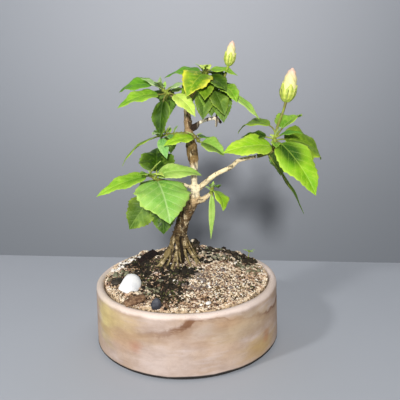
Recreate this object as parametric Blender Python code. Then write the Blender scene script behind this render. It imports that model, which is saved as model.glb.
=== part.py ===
"""Hibiscus bonsai standing in its round planter, as separate solids.

Metres, +Z up. The origin is the middle of the planter's flat underside, +X is to
the right of the tree's front and +Y runs to its back. Sizes below are in
millimetres and are scaled by MM where they are used.
"""

import math
import random

import bmesh
import bpy
from mathutils import Matrix, Vector, noise

MM = 0.001
CLEARANCE = 0.35  # gap between neighbouring solids

# Planter
POT_RADIUS = 80.0
POT_HEIGHT = 53.2
POT_WALL = 7.0
POT_FLOOR = 8.0
POT_FOOT_RADIUS = 81.4  # the wall spreads a little towards the foot
POT_FOOT_CHAMFER = 1.2
POT_SEGMENTS = 48
LIP_STEPS = 6
POT_CORNER = 2.0  # slope where the inside wall meets the floor

# Soil
SOIL_AT_WALL = 50.6  # at the front; the soil is heaped higher towards the back
SOIL_BACK_RISE = 3.4
GROUND = 60.0  # level of the flat patch under the trunk
GROUND_PATCH = 26.2  # its radius
SOIL_RAYS = 60
SOIL_RINGS = 9
SOIL_HEAP = (7.0, 41.5, 13.5, 11.5)  # heap behind the trunk: x, y, radius and height
MOUND_GAP = 15.0  # small mounds stand about this far apart
MOUND_RADIUS = (7.0, 9.5)
MOUND_HEIGHT = (1.3, 3.0)
MOUND_SEED = 12
MOUND_COUNT = 90
MOUND_START = 4.0  # mounds are at full height this far from the flat patch
SOIL_LUMPS = 0.9
LUMP_SCALE = 95.0  # lumps per metre
SOIL_FALL = 0.7  # below 1 the mound is full near the trunk and steeper at the wall
SOIL_CALM = 0.25  # share of the way at either end where the lumps die out

# Trunk: x, y, z and radius, from the foot to the tip
TRUNK = (
    (-5.0, 14.0, 56.0, 8.6),
    (-4.2, 14.0, 86.0, 6.9),
    (-2.2, 14.0, 99.0, 5.9),
    (3.8, 14.0, 112.0, 6.2),
    (9.6, 14.0, 123.0, 4.6),
    (9.2, 14.0, 136.0, 3.0),
    (9.6, 14.5, 150.0, 3.6),
    (8.4, 15.0, 163.0, 5.1),
    (6.6, 15.5, 176.0, 3.7),
    (5.3, 16.0, 189.0, 3.4),
    (6.6, 16.0, 206.0, 2.3),
    (20.5, 16.0, 226.0, 1.5),
)
# Surface roots: compass turn where each one leaves the trunk and where it meets the soil,
# its reach from the trunk's foot, and its girth
ROOTS = ((236, 200, 24, 1.15), (214, 226, 19, 0.8), (254, 248, 22, 1.2), (248, 282, 15, 0.75),
         (284, 306, 19, 0.9), (302, 342, 22, 1.05), (346, 14, 21, 0.8), (32, 52, 20, 1.0),
         (82, 92, 17, 1.1), (122, 136, 19, 0.9), (176, 172, 21, 0.95))
# One root: share of its reach, height and radius, from inside the trunk to the soil
ROOT_PATH = ((0.16, 91.0, 1.2), (0.33, 84.5, 1.6), (0.44, 77.0, 1.6), (0.68, 68.0, 1.45),
             (1.0, GROUND - 1.0, 1.2))
GROUND_CUTTER = (90.0, 90.0, 12.0)  # takes off everything below soil level

# Boughs: x, y, z and radius, each from inside the trunk to where it enters a mass
BOUGHS = {
    "bough_right": ((8.5, 14, 124, 2.6), (12, 14, 128.5, 2.9), (27, 12, 141.3, 2.4),
                    (42, 10, 148.8, 2.3), (48.5, 9, 154.3, 2.1), (64, 7, 158.0, 1.8)),
    "bough_short": ((6, 13.5, 115.5, 2.4), (13, 11.5, 119, 2.9), (18.5, 10, 121.6, 2.4),
                    (23, 9, 125.4, 1.8)),
    "bough_left": ((9, 13.8, 130, 1.8), (-4, 8, 136, 2.0), (-16, 1.5, 139.5, 1.7)),
    "bough_upper_left": ((6, 15.8, 202, 1.6), (-3, 12.5, 208.5, 1.7), (-9, 10.5, 212, 1.5)),
}
DEAD_BOUGH = ((6, 15.8, 182.5, 2.6), (10.9, 15, 184.1, 3.0), (14.9, 14, 187.5, 1.4),
              (22.7, 13, 190.5, 1.3), (30, 12, 191.1, 1.4), (34.2, 12, 187.1, 0.9))
DEAD_TWIGS = (
    ((29.6, 12, 191, 1.0), (29.8, 11, 187.5, 0.9), (29.2, 11.5, 184.3, 0.7)),
    ((29.8, 12, 191, 0.9), (30.8, 13, 195, 0.8), (29.6, 13.5, 199, 0.7), (30.4, 14, 205, 0.5)),
)

# Foliage. A stem starts at its bough's tip ("from") or inside the trunk (None).
# Each leaf: place along the stem 0 to 1, compass turn, rise of the blade at its root,
# stalk length, how much steeper the stalk starts, blade length, width, how far the
# blade arches over, roll about its midrib, and fold of its halves (angles in degrees).
MASSES = {
    "foliage_upper_left": {
        "from": "bough_upper_left",
        "stem": ((-13, 9, 214.5, 1.3), (-17.5, 8, 218.5, 0.9)),
        "leaves": (
            (0.6, 166, 12, 11, 30, 36, 19, 52, 35, 14),
            (0.3, 205, 6, 8, -30, 37, 20, 50, 25, 14),
            (0.2, 235, -68, 9, 50, 31, 19, 20, 0, 14),
            (0.6, 93, -6, 4, 10, 25, 20, 40, 0, 14),
            (0.2, 312, -18, 9, 20, 28, 16, 50, -20, 14),
            (0.25, 190, 38, 5, 10, 20, 11, 25, 25, 14),
            (1.0, 292, 78, 1, 0, 8, 4, 10, 0, 14),
        ),
        "young": 3,
        "seed": 3,
        "space": ((-18, 10, 208), (38, 34, 36)),
    },
    "foliage_crown": {
        "from": "trunk",
        "stem": ((21.3, 15.9, 228.5, 1.3), (22.2, 15.5, 231.5, 0.9)),
        "leaves": (
            (0.6, 166, 11, 5, 10, 34, 19, 40, 20, 14),
            (0.4, 246, -8, 5, 15, 33, 27, 55, 18, 18),
            (0.5, 48, 10, 6, 0, 23, 17, 50, 0, 14),
            (0.3, 285, -66, 10, 30, 28, 20, 12, 0, 10),
            (0.5, 110, -4, 6, 20, 28, 18, 50, 0, 14),
        ),
        "young": 3,
        "seed": 24,
        "space": ((18, 14, 222), (42, 36, 36)),
    },
    "foliage_upper_right": {
        "from": None,
        "stem": ((14, 16, 217, 1.4), (24, 14.5, 217.5, 1.5), (31, 13.5, 218.5, 1.2),
                 (36, 13, 221, 0.9)),
        "leaves": (
            (0.82, 277, -62, 9, 50, 27, 18, 20, -10, 10),
            (0.86, 300, -9, 5, -10, 23, 17, 60, -10, 18),
            (0.9, 344, -33, 15, -14, 30, 10, 25, -30, 14),
            (0.8, 75, 5, 6, 20, 26, 17, 50, 0, 14),
        ),
        "bud": {"twig": ((35.5, 13, 220.5, 1.2), (38.5, 12, 229, 1.1), (40.8, 11, 235.5, 1.2)),
                "tip": (44.4, 11, 254.6), "width": 8.4},
        "young": 2,
        "seed": 8,
        "space": ((44, 14, 212), (34, 34, 46)),
    },
    "foliage_middle_left": {
        "from": None,
        "stem": ((6.4, 15.5, 179, 1.3), (-8, 15, 178.5, 1.2), (-20, 9, 177.5, 0.9)),
        "leaves": (
            (0.95, 290, -50, 3, 20, 19, 10, 30, -20, 14),
            (1.0, 190, -14, 4, 0, 38, 11, 50, 0, 10),
            (0.7, 110, 10, 5, 15, 26, 16, 45, 0, 14),
        ),
        "young": 2,
        "seed": 2,
        "space": ((-22, 10, 172), (34, 32, 26)),
    },
    "foliage_middle_front": {
        "from": None,
        "stem": ((6.8, 15, 175, 1.3), (9.5, 8, 178, 1.2), (14.5, 9.5, 171.5, 0.9)),
        "leaves": (
            (0.72, 207, 6, 3, 10, 28, 16, 40, 24, 14),
            (1.0, 330, -8, 3, 10, 23, 20, 50, -25, 20),
            (0.8, 50, 5, 5, 10, 24, 15, 50, -10, 14),
        ),
        "young": 1,
        "seed": 4,
        "space": ((16, 4, 168), (34, 26, 20)),
    },
    "foliage_left": {
        "from": "bough_left",
        "stem": ((-24, -2.5, 142.5, 1.3), (-29, -4.5, 146.5, 0.9)),
        "leaves": (
            (0.9, 202, -4, 4, 10, 45, 17, 35, 30, 14),
            (0.55, 290, -20, 4, 10, 44, 48, 50, 0, 8),
            (0.7, 356, 22, 4, 10, 41, 19, 62, -35, 14),
            (0.5, 90, 48, 8, 0, 33, 32, 34, 0, 10),
            (0.3, 198, -48, 19, -22, 32, 28, 25, 55, 12),
            (0.1, 266, -66, 20, -10, 26, 23, 20, 0, 12),
            (1.0, 346, 51, 3, 10, 13, 5, 10, 0, 14),
            (0.5, 108, -25, 9, 20, 32, 22, 40, 0, 14),
        ),
        "young": 2,
        "seed": 6,
        "space": ((-30, 2, 134), (50, 44, 46)),
    },
    "foliage_right": {
        "from": "bough_right",
        "stem": ((73, 6, 160.5, 1.6), (78.8, 6, 164, 1.5), (79.8, 6, 174, 1.3)),
        "leaves": (
            (0.95, 47, 30, 14, 10, 33, 28, 30, 0, 34),
            (1.0, 150, 25, 12, 78, 38, 17, 82, 20, 14),
            (0.7, 199, 11, 3, 0, 44, 27, 42, 36, 14),
            (0.95, 160, 13, 8, 0, 23, 13, 35, 30, 14),
            (0.85, 306, -31, 7, 50, 55, 34, 40, -18, 14),
            (0.9, 13, -5, 9, 18, 54, 36, 54, -40, 14),
            (0.35, 6, -53, 7, 0, 59, 14, 12, 0, 12),
        ),
        "bud": {"twig": ((79.7, 6, 173, 1.4), (82.3, 6, 184.6, 1.2), (86.6, 6, 196, 1.1),
                         (88.9, 6, 204.5, 1.3)),
                "tip": (94.1, 6, 231.4), "width": 12.6},
        "young": 3,
        "seed": 7,
        "space": ((80, 6, 168), (58, 44, 66)),
    },
    "foliage_low": {
        "from": "bough_short",
        "stem": ((25.3, 9, 131.6, 0.8),),
        "leaves": (
            (0.5, 308, -6, 3, 20, 24, 20, 75, 20, 14),
            (0.9, 262, -76, 8, 70, 39, 6, 10, 20, 14),
            (0.7, 70, 10, 4, 20, 18, 11, 50, 0, 14),
        ),
        "young": 1,
        "seed": 9,
        "space": ((26, 8, 112), (18, 18, 30)),
    },
}

STRAIGHT_START = 1.6  # a stem carries straight on from its bough for this far
TRUNK_SIDES = 10
BOUGH_SIDES = 8
STEM_SIDES = 6
STALK_SIDES = 4

# Leaf rule
STALK_RADIUS = 0.75
BLADE_ROOT = 1.8  # width where the blade meets its stalk
BLADE_POINT = 0.8  # width left at the tip
BLADE_THICKNESS = 0.75
BLADE_CUP = 0.16  # how far the edges curl back down, as a share of the half width
LEAF_BULGE = (0.55, 1.05)  # the blade is widest a third of the way up
LARGE_LEAF = 30.0  # longer blades have more faces
STALK_SUNK = (0.06, 0.2)  # shares of the blade's length that the stalk runs on inside it
YOUNG_LEAF_GAP = 3.5  # young leaves keep this far from limbs and other leaves
YOUNG_SPACING = 0.22  # share of the stem from one young leaf down to the next
GOLDEN_ANGLE = 137.5
YOUNG_LENGTH = (11.0, 17.0)
YOUNG_SHAPE = (0.45, 0.6)  # width as a share of length
YOUNG_RISE = (15.0, 50.0)
YOUNG_STALK = (2.0, 4.0)
YOUNG_DROOP = (25.0, 60.0)

# Bud rule: share of length against share of radius
BUD_PROFILE = ((0.0, 0.30), (0.07, 0.72), (0.22, 1.0), (0.45, 0.96),
               (0.68, 0.72), (0.88, 0.38), (1.0, 0.10))
BUD_SIDES = 10
BRACTS = 6
# One bract: share of the bud's width outwards, share of its length upwards, and radius
BRACT_PATH = ((0.0, -0.02, 1.0), (0.30, 0.04, 0.9), (0.60, 0.36, 0.4))

# Things lying on the soil
PEBBLE_SIZE = (19.5, 18.5, 9.0)
PEBBLE_PLACE = (-47.0, -34.0, 60.2)
PEBBLE_TURN = 20.0
PEBBLE_TILT = 48.0
PEBBLE_POINT = 0.45  # how much is taken off its thickness at the pointed end
BARK_SIZE = (25.0, 9.0, 5.0)
BARK_PLACE = (-37.0, 30.0, 59.6)
BARK_TURN = 62.0
BARK_TILT = 24.0
BARK_NARROW = 0.25  # taken off its width at both ends
BARK_THIN = 0.22  # taken off its thickness at both ends
BARK_BOW = 0.05  # how far both ends bend up


def clear_scene():
    for thing in list(bpy.data.objects):
        bpy.data.objects.remove(thing)


def make_material(name, colour, roughness):
    material = bpy.data.materials.new(name)
    material.use_nodes = True
    shader = material.node_tree.nodes["Principled BSDF"]
    shader.inputs["Base Color"].default_value = (*colour, 1.0)
    shader.inputs["Roughness"].default_value = roughness
    shader.inputs["Metallic"].default_value = 0.0
    return material


def add_object(name, mesh, material):
    thing = bpy.data.objects.new(name, mesh)
    bpy.context.scene.collection.objects.link(thing)
    mesh.materials.clear()
    mesh.materials.append(material)
    return thing


def finish(shape, name, material, smooth_angle=None):
    """Turns a bmesh into an object with its faces pointing out."""
    bmesh.ops.recalc_face_normals(shape, faces=shape.faces)
    mesh = bpy.data.meshes.new(name)
    shape.to_mesh(mesh)
    shape.free()
    if smooth_angle is not None:
        mesh.shade_smooth()
        mesh.set_sharp_from_angle(angle=math.radians(smooth_angle))
    return add_object(name, mesh, material)


def bake(thing):
    """Applies an object's modifiers, or turns a curve into a mesh."""
    evaluated = thing.evaluated_get(bpy.context.evaluated_depsgraph_get())
    mesh = bpy.data.meshes.new_from_object(evaluated)
    name = thing.name
    material = thing.data.materials[0]
    bpy.data.objects.remove(thing)
    return add_object(name, mesh, material)


def combine(base, others, operation):
    """One Boolean over a collection of the other solids, which then goes."""
    group = bpy.data.collections.new(base.name + "_parts")
    for other in others:
        group.objects.link(other)
    boolean = base.modifiers.new("combine", "BOOLEAN")
    boolean.operation = operation
    boolean.operand_type = "COLLECTION"
    boolean.collection = group
    boolean.solver = "EXACT"
    result = bake(base)
    for other in others:
        bpy.data.objects.remove(other)
    bpy.data.collections.remove(group)
    return result


def smooth_spine(points, steps):
    """Catmull-Rom curve through rows of x, y, z and radius."""
    rows = [Vector(point) for point in points]
    rows = [2 * rows[0] - rows[1]] + rows + [2 * rows[-1] - rows[-2]]
    spine = []
    for a, b, c, d in zip(rows, rows[1:], rows[2:], rows[3:]):
        for step in range(steps):
            t = step / steps
            spine.append(0.5 * (2 * b + (c - a) * t + (2 * a - 5 * b + 4 * c - d) * t ** 2
                                + (3 * b - a - 3 * c + d) * t ** 3))
    return spine + [rows[-2]]


def limb(name, spine, sides, material, grow=0.0):
    """A closed tapering limb: a bevelled curve with filled caps."""
    curve = bpy.data.curves.new(name, "CURVE")
    curve.dimensions = "3D"
    curve.bevel_depth = MM
    curve.bevel_resolution = sides // 2 - 2
    curve.use_fill_caps = True
    spline = curve.splines.new("POLY")
    spline.points.add(len(spine) - 1)
    for point, row in zip(spline.points, spine):
        point.co = (row[0] * MM, row[1] * MM, row[2] * MM, 1.0)
        point.radius = row[3] + grow
    curve.materials.append(material)
    thing = bpy.data.objects.new(name, curve)
    bpy.context.scene.collection.objects.link(thing)
    return bake(thing)


def along(spine, share):
    """Point at a share of a spine's length."""
    points = [row.xyz for row in spine]
    lengths = [(b - a).length for a, b in zip(points, points[1:])]
    left = share * sum(lengths)
    for a, b, length in zip(points, points[1:], lengths):
        if left <= length:
            return a.lerp(b, left / length)
        left -= length
    return points[-1]


def blade_width(t, width):
    rise, fall = LEAF_BULGE
    peak = rise / (rise + fall)
    share = (t / peak) ** rise * ((1 - t) / (1 - peak)) ** fall
    return max(width * share, BLADE_ROOT + (BLADE_POINT - BLADE_ROOT) * t)


def leaf_axes(turn, rise, roll):
    """Forward, side and upper-face directions where a blade starts."""
    turn, rise, roll = (math.radians(angle) for angle in (turn, rise, roll))
    level = Vector((math.cos(turn), math.sin(turn), 0.0))
    forward = level * math.cos(rise) + Vector((0, 0, math.sin(rise)))
    side = Vector((level.y, -level.x, 0.0))
    face = side.cross(forward)
    return (forward, side * math.cos(roll) + face * math.sin(roll),
            face * math.cos(roll) - side * math.sin(roll))


def arch(start, forward, face, length, bend, t):
    """Point and upper-face direction along an arc that bends away from its face."""
    bend = max(math.radians(bend), 0.001)
    angle = bend * t
    point = (start + forward * (length * math.sin(angle) / bend)
             - face * (length * (1 - math.cos(angle)) / bend))
    return point, face * math.cos(angle) + forward * math.sin(angle)


def stalk_path(node, turn, rise, stalk, lift):
    """The stalk leaves its node steeper than the blade and eases into it."""
    points = [node]
    pieces = 2
    for piece in range(pieces):
        slope = rise + lift * (1 - (piece + 0.5) / pieces)
        forward, _, _ = leaf_axes(turn, slope, 0.0)
        points.append(points[-1] + forward * (stalk / pieces))
    return points


def blade_point(root, axes, row, across, t):
    """A point of the blade's underside: across from edge -1 to edge 1, t from root to tip."""
    length, width, droop, _, fold = row[5:]
    forward, side, face = axes
    centre, upper = arch(root, forward, face, length, droop, t)
    half = blade_width(t, width) / 2
    fold = math.radians(fold)
    raised = half * (abs(across) * math.sin(fold) - BLADE_CUP * across ** 2)
    return centre + side * (half * across * math.cos(fold)) + upper * raised


def leaf_frame(node, row):
    """The stalk's path, and the directions that the blade is laid out on."""
    _, turn, rise, stalk, lift, _, _, _, roll, _ = row
    return stalk_path(node, turn, rise, stalk, lift), leaf_axes(turn, rise, roll)


def leaf_trace(node, row):
    """Points spread over a leaf, for keeping other leaves off it."""
    path, axes = leaf_frame(node, row)
    return path[1:] + [blade_point(path[-1], axes, row, across, t)
                       for across in (-0.9, -0.45, 0.0, 0.45, 0.9)
                       for t in (0.15, 0.35, 0.55, 0.75, 1.0)]


def leaf(name, node, row, materials):
    """A stalk and a blade as two overlapping solids."""
    path, axes = leaf_frame(node, row)
    root, length = path[-1], row[5]
    sunk = [arch(root, axes[0], axes[2], length, row[7], t)[0] for t in STALK_SUNK]
    sunk = [point - axes[2] * (BLADE_THICKNESS / 2) for point in sunk]
    stalk_spine = [Vector((*point, STALK_RADIUS)) for point in path + sunk[:1]]
    stalk_spine.append(Vector((*sunk[1], STALK_RADIUS * 0.6)))
    stalk = limb(name + "_stalk", stalk_spine, STALK_SIDES, materials["twig"])

    columns, rows = (4, 5) if length >= LARGE_LEAF else (2, 5)
    shape = bmesh.new()
    bmesh.ops.create_grid(shape, x_segments=columns, y_segments=rows, size=0.5)
    for vert in shape.verts:
        vert.co = blade_point(root, axes, row, vert.co.x * 2, vert.co.y + 0.5) * MM
    thickness = max(BLADE_THICKNESS, length / 90)
    bmesh.ops.recalc_face_normals(shape, faces=shape.faces)
    bmesh.ops.solidify(shape, geom=shape.faces, thickness=thickness * MM)
    return [stalk, finish(shape, name + "_blade", materials["leaf"], 60)]


def bud(name, foot, tip, width, materials):
    """A furled bud turned from its profile, with a ring of bracts at its foot."""
    foot, tip = Vector(foot), Vector(tip)
    axis = tip - foot
    length = axis.length
    frame = axis.to_track_quat("Z", "Y").to_matrix()
    rows = [Vector((foot + axis * t).to_tuple() + (radius * width / 2,))
            for t, radius in BUD_PROFILE]
    parts = [limb(name, rows, BUD_SIDES, materials["bud"])]
    for number in range(BRACTS):
        turn = math.tau * number / BRACTS
        out = Vector((math.cos(turn), math.sin(turn), 0))
        spine = []
        for outward, upward, radius in BRACT_PATH:
            point = out * width * outward + Vector((0, 0, length * upward))
            spine.append(Vector((*(foot + frame @ point), radius)))
        parts.append(limb(f"{name}_bract{number}", spine, STALK_SIDES, materials["twig"]))
    return parts


def clear_of(trace, taken, gap):
    return all((point - other).length > gap for point in trace for other in taken)


def young_leaves(name, mass, spine, taken, materials):
    """Small leaves by a seeded rule, turning a golden angle round the shoot's end."""
    rng = random.Random(mass["seed"])
    centre, reach = (Vector(size) for size in mass["space"])
    parts = []
    for number in range(mass["young"]):
        place = 1.0 - YOUNG_SPACING * number
        turn = rng.uniform(0, 360) + GOLDEN_ANGLE * number
        length = rng.uniform(*YOUNG_LENGTH)
        row = (place, turn, rng.uniform(*YOUNG_RISE), rng.uniform(*YOUNG_STALK), 20,
               length, length * rng.uniform(*YOUNG_SHAPE), rng.uniform(*YOUNG_DROOP), 0, 14)
        node = along(spine, place)
        trace = leaf_trace(node, row)
        inside = all(sum(((point - centre)[i] / reach[i]) ** 2 for i in range(3)) < 1
                     for point in trace)
        if inside and clear_of(trace[3:], taken, YOUNG_LEAF_GAP):
            parts += leaf(f"{name}_young{number}", node, row, materials)
            taken += trace
    return parts


def stem_spine(mass, limbs):
    """A mass's stem, carrying on from its bough's tip or starting inside the trunk."""
    rows = [Vector(row) for row in mass["stem"]]
    start = []
    if mass["from"]:
        carrier = limbs[mass["from"]]
        end, before = carrier[-1], carrier[-2]
        onward = (end.xyz - before.xyz).normalized()
        start = [Vector((*(end.xyz + onward * CLEARANCE), end.w))]
        rows.insert(0, Vector((*(end.xyz + onward * STRAIGHT_START), end.w)))
    return start + smooth_spine(rows, 2)


def grow_mass(name, mass, spine, taken, trunk_spine, materials):
    """One stem with its leaves, young leaves and bud, joined into one solid."""
    stem = limb(name, spine, STEM_SIDES, materials["twig"])
    parts = []
    for number, row in enumerate(mass["leaves"]):
        parts += leaf(f"{name}_leaf{number}", along(spine, row[0]), row, materials)
    if "bud" in mass:
        twig = smooth_spine(mass["bud"]["twig"], 2)
        parts.append(limb(name + "_bud_twig", twig, STEM_SIDES, materials["twig"]))
        parts += bud(name + "_bud", twig[-1].xyz, mass["bud"]["tip"], mass["bud"]["width"],
                     materials)
    parts += young_leaves(name, mass, spine, taken, materials)
    joined = combine(stem, parts, "UNION")
    if not mass["from"]:
        cutter = limb("trunk_cutter", trunk_spine, TRUNK_SIDES, materials["bark"], CLEARANCE)
        joined = combine(joined, [cutter], "DIFFERENCE")
    joined.data.materials.clear()
    joined.data.materials.append(materials["leaf"])
    joined.data.shade_smooth()
    joined.data.set_sharp_from_angle(angle=math.radians(40))


def grow_foliage(limbs, trunk_spine, materials):
    """Every mass, with the small leaves kept off all limbs and larger leaves."""
    spines = {name: stem_spine(mass, limbs) for name, mass in MASSES.items()}
    taken = [row.xyz for spine in limbs.values() for row in spine]
    for name, mass in MASSES.items():
        for row in mass["leaves"]:
            taken += leaf_trace(along(spines[name], row[0]), row)
        if "bud" in mass:
            taken += [row.xyz for row in smooth_spine(mass["bud"]["twig"], 2)[2:]]
            taken.append(Vector(mass["bud"]["tip"]))
    for name, mass in MASSES.items():
        grow_mass(name, mass, spines[name], taken, trunk_spine, materials)


def build_pot(material):
    """Turned planter: flat underside, straight wall and a rounded lip."""
    radius, inner = POT_RADIUS, POT_RADIUS - POT_WALL
    lip = POT_WALL / 2
    profile = [(0.0, 0.0), (POT_FOOT_RADIUS - POT_FOOT_CHAMFER, 0.0),
               (POT_FOOT_RADIUS, POT_FOOT_CHAMFER)]
    for step in range(LIP_STEPS + 1):
        angle = math.pi * step / LIP_STEPS
        profile.append((radius - lip + lip * math.cos(angle),
                        POT_HEIGHT - lip + lip * math.sin(angle)))
    profile += [(inner, POT_FLOOR + POT_CORNER), (inner - POT_CORNER, POT_FLOOR),
                (0.0, POT_FLOOR)]
    shape = bmesh.new()
    verts = [shape.verts.new((x * MM, 0.0, z * MM)) for x, z in profile]
    edges = [shape.edges.new(pair) for pair in zip(verts, verts[1:])]
    bmesh.ops.spin(shape, geom=verts + edges, cent=(0, 0, 0), axis=(0, 0, 1),
                   angle=math.tau, steps=POT_SEGMENTS, use_merge=True)
    bmesh.ops.remove_doubles(shape, verts=shape.verts, dist=1e-6)
    flat = [face for face in shape.faces
            if all(abs(vert.co.z) < 1e-7 for vert in face.verts)]
    bmesh.ops.dissolve_faces(shape, faces=flat)
    return finish(shape, "pot", material, 35)


def soil_mounds():
    """Small mounds on a golden spiral, none on the flat patch, and one larger heap."""
    rng = random.Random(MOUND_SEED)
    foot = Vector(TRUNK[0][:2])
    x, y, radius, rise = SOIL_HEAP
    mounds = [(Vector((x, y)), radius, rise)]
    for number in range(MOUND_COUNT):
        turn = math.radians(GOLDEN_ANGLE * number)
        centre = Vector((math.cos(turn), math.sin(turn))) * MOUND_GAP * math.sqrt(number / math.pi)
        radius, rise = rng.uniform(*MOUND_RADIUS), rng.uniform(*MOUND_HEIGHT)
        clear = (centre - foot).length - radius > GROUND_PATCH
        if clear and centre.length < POT_RADIUS - POT_WALL:
            mounds.append((centre, radius, rise))
    return mounds


def soil_height(point, mounds):
    """Ground that falls from the flat patch at the trunk to the wall, with its mounds."""
    foot = Vector(TRUNK[0][:2])
    away = point - foot
    distance = away.length
    if distance <= GROUND_PATCH:
        return GROUND
    ray = away / distance
    inner = POT_RADIUS - POT_WALL
    lean = foot.dot(ray)
    to_wall = -lean + math.sqrt(lean ** 2 + inner ** 2 - foot.length_squared)
    share = max(0.0, 1 - (distance - GROUND_PATCH) / (to_wall - GROUND_PATCH))
    lump = noise.noise(Vector((point.x, point.y, 0)) * MM * LUMP_SCALE)
    ease = min(1.0, share / SOIL_CALM) * min(1.0, (1 - share) / SOIL_CALM)
    edge = SOIL_AT_WALL + SOIL_BACK_RISE * (0.5 + 0.5 * ray.y)
    height = edge + (GROUND - edge) * share ** SOIL_FALL + SOIL_LUMPS * lump * ease
    start = min(1.0, (distance - GROUND_PATCH) / MOUND_START)
    for centre, radius, rise in mounds:
        near = (point - centre).length / radius
        if near < 1.0:
            height += rise * (1 - near ** 2) ** 2 * start
    return height


def build_soil(material):
    """Rays from the trunk's foot out to the wall, closed by a flat bottom."""
    foot, mounds = Vector(TRUNK[0][:2]), soil_mounds()
    radius = POT_RADIUS - POT_WALL - 2 * CLEARANCE
    bottom = POT_FLOOR + CLEARANCE
    shape = bmesh.new()
    rings = []
    for ring in range(SOIL_RINGS + 1):
        verts = []
        for ray in range(SOIL_RAYS):
            turn = math.tau * ray / SOIL_RAYS
            out = Vector((math.cos(turn), math.sin(turn)))
            lean = foot.dot(out)
            to_wall = -lean + math.sqrt(lean ** 2 + radius ** 2 - foot.length_squared)
            distance = GROUND_PATCH + (to_wall - GROUND_PATCH) * ring / SOIL_RINGS
            point = foot + out * distance
            verts.append(shape.verts.new(Vector((*point, soil_height(point, mounds))) * MM))
        rings.append(verts)
    for height, shrink in ((bottom + POT_CORNER, 0.0), (bottom, POT_CORNER)):
        scale = (radius - shrink) / radius
        rings.append([shape.verts.new((vert.co.x * scale, vert.co.y * scale, height * MM))
                      for vert in rings[SOIL_RINGS]])
    for upper, lower in zip(rings, rings[1:]):
        for a in range(SOIL_RAYS):
            b = (a + 1) % SOIL_RAYS
            shape.faces.new((upper[a], upper[b], lower[b], lower[a]))
    shape.faces.new(rings[0])
    shape.faces.new(rings[-1][::-1])
    return finish(shape, "soil", material, 40)


def build_trunk(spine, material):
    """The tapering trunk and its spread of surface roots, cut flat at the soil."""
    trunk = limb("trunk", spine, TRUNK_SIDES, material)
    foot = Vector(TRUNK[0][:2])
    roots = []
    for number, (leaves, lands, reach, girth) in enumerate(ROOTS):
        swing = (lands - leaves + 180) % 360 - 180
        rows = []
        for share, height, radius in ROOT_PATH:
            angle = math.radians(leaves + swing * share)
            spot = foot + reach * share * Vector((math.cos(angle), math.sin(angle)))
            rows.append((*spot, height, radius * girth))
        roots.append(limb(f"root{number}", smooth_spine(rows, 2), STEM_SIDES, material))
    trunk = combine(trunk, roots, "UNION")
    ground = bmesh.new()
    bmesh.ops.create_cube(ground, size=1.0)
    centre = Vector((*foot, GROUND + CLEARANCE - GROUND_CUTTER[2] / 2))
    bmesh.ops.scale(ground, vec=Vector(GROUND_CUTTER) * MM, verts=ground.verts)
    bmesh.ops.translate(ground, vec=centre * MM, verts=ground.verts)
    trunk = combine(trunk, [finish(ground, "ground_cutter", material)], "DIFFERENCE")
    trunk.data.shade_smooth()
    trunk.data.set_sharp_from_angle(angle=math.radians(50))
    return trunk


def build_bough(name, spine, trunk_spine, material, twigs=()):
    """A bough, cut clear of the trunk's surface."""
    bough = limb(name, spine, BOUGH_SIDES, material)
    if twigs:
        parts = [limb(f"{name}_twig{number}", smooth_spine(rows, 2), STALK_SIDES, material)
                 for number, rows in enumerate(twigs)]
        bough = combine(bough, parts, "UNION")
    cutter = limb("trunk_cutter", trunk_spine, TRUNK_SIDES, material, CLEARANCE)
    bough = combine(bough, [cutter], "DIFFERENCE")
    bough.data.shade_smooth()
    bough.data.set_sharp_from_angle(angle=math.radians(50))
    return bough


def pebble(name, material, grow=0.0):
    """A teardrop pebble, pointed to the left, lying on its flatter side."""
    shape = bmesh.new()
    bmesh.ops.create_uvsphere(shape, u_segments=14, v_segments=8, radius=0.5)
    for vert in shape.verts:
        point = vert.co
        squeeze = 1.0 - PEBBLE_POINT * max(0.0, -2 * point.x)
        vert.co = Vector((point.x, point.y * squeeze, point.z * squeeze))
    size = Vector(PEBBLE_SIZE) + Vector((2, 2, 2)) * grow
    bmesh.ops.scale(shape, vec=size * MM, verts=shape.verts)
    place = (Matrix.Translation(Vector(PEBBLE_PLACE) * MM)
             @ Matrix.Rotation(math.radians(PEBBLE_TURN), 4, "Z")
             @ Matrix.Rotation(math.radians(PEBBLE_TILT), 4, "X"))
    bmesh.ops.transform(shape, matrix=place, verts=shape.verts)
    return finish(shape, name, material, 60)


def bark_piece(name, material, grow=0.0):
    """A slab of dead bark, thinner at one end, leaning on the soil."""
    shape = bmesh.new()
    bmesh.ops.create_cube(shape, size=1.0)
    bmesh.ops.subdivide_edges(shape, edges=shape.edges, cuts=2, use_grid_fill=True)
    for vert in shape.verts:
        point = vert.co
        end = (2 * point.x) ** 2
        vert.co = Vector((point.x, point.y * (1 - BARK_NARROW * abs(2 * point.x)),
                          point.z * (1 - BARK_THIN * end) + BARK_BOW * end))
    size = Vector(BARK_SIZE) + Vector((2, 2, 2)) * grow
    bmesh.ops.scale(shape, vec=size * MM, verts=shape.verts)
    place = (Matrix.Translation(Vector(BARK_PLACE) * MM)
             @ Matrix.Rotation(math.radians(BARK_TURN), 4, "Z")
             @ Matrix.Rotation(math.radians(BARK_TILT), 4, "X"))
    bmesh.ops.transform(shape, matrix=place, verts=shape.verts)
    return finish(shape, name, material, 30)


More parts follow.
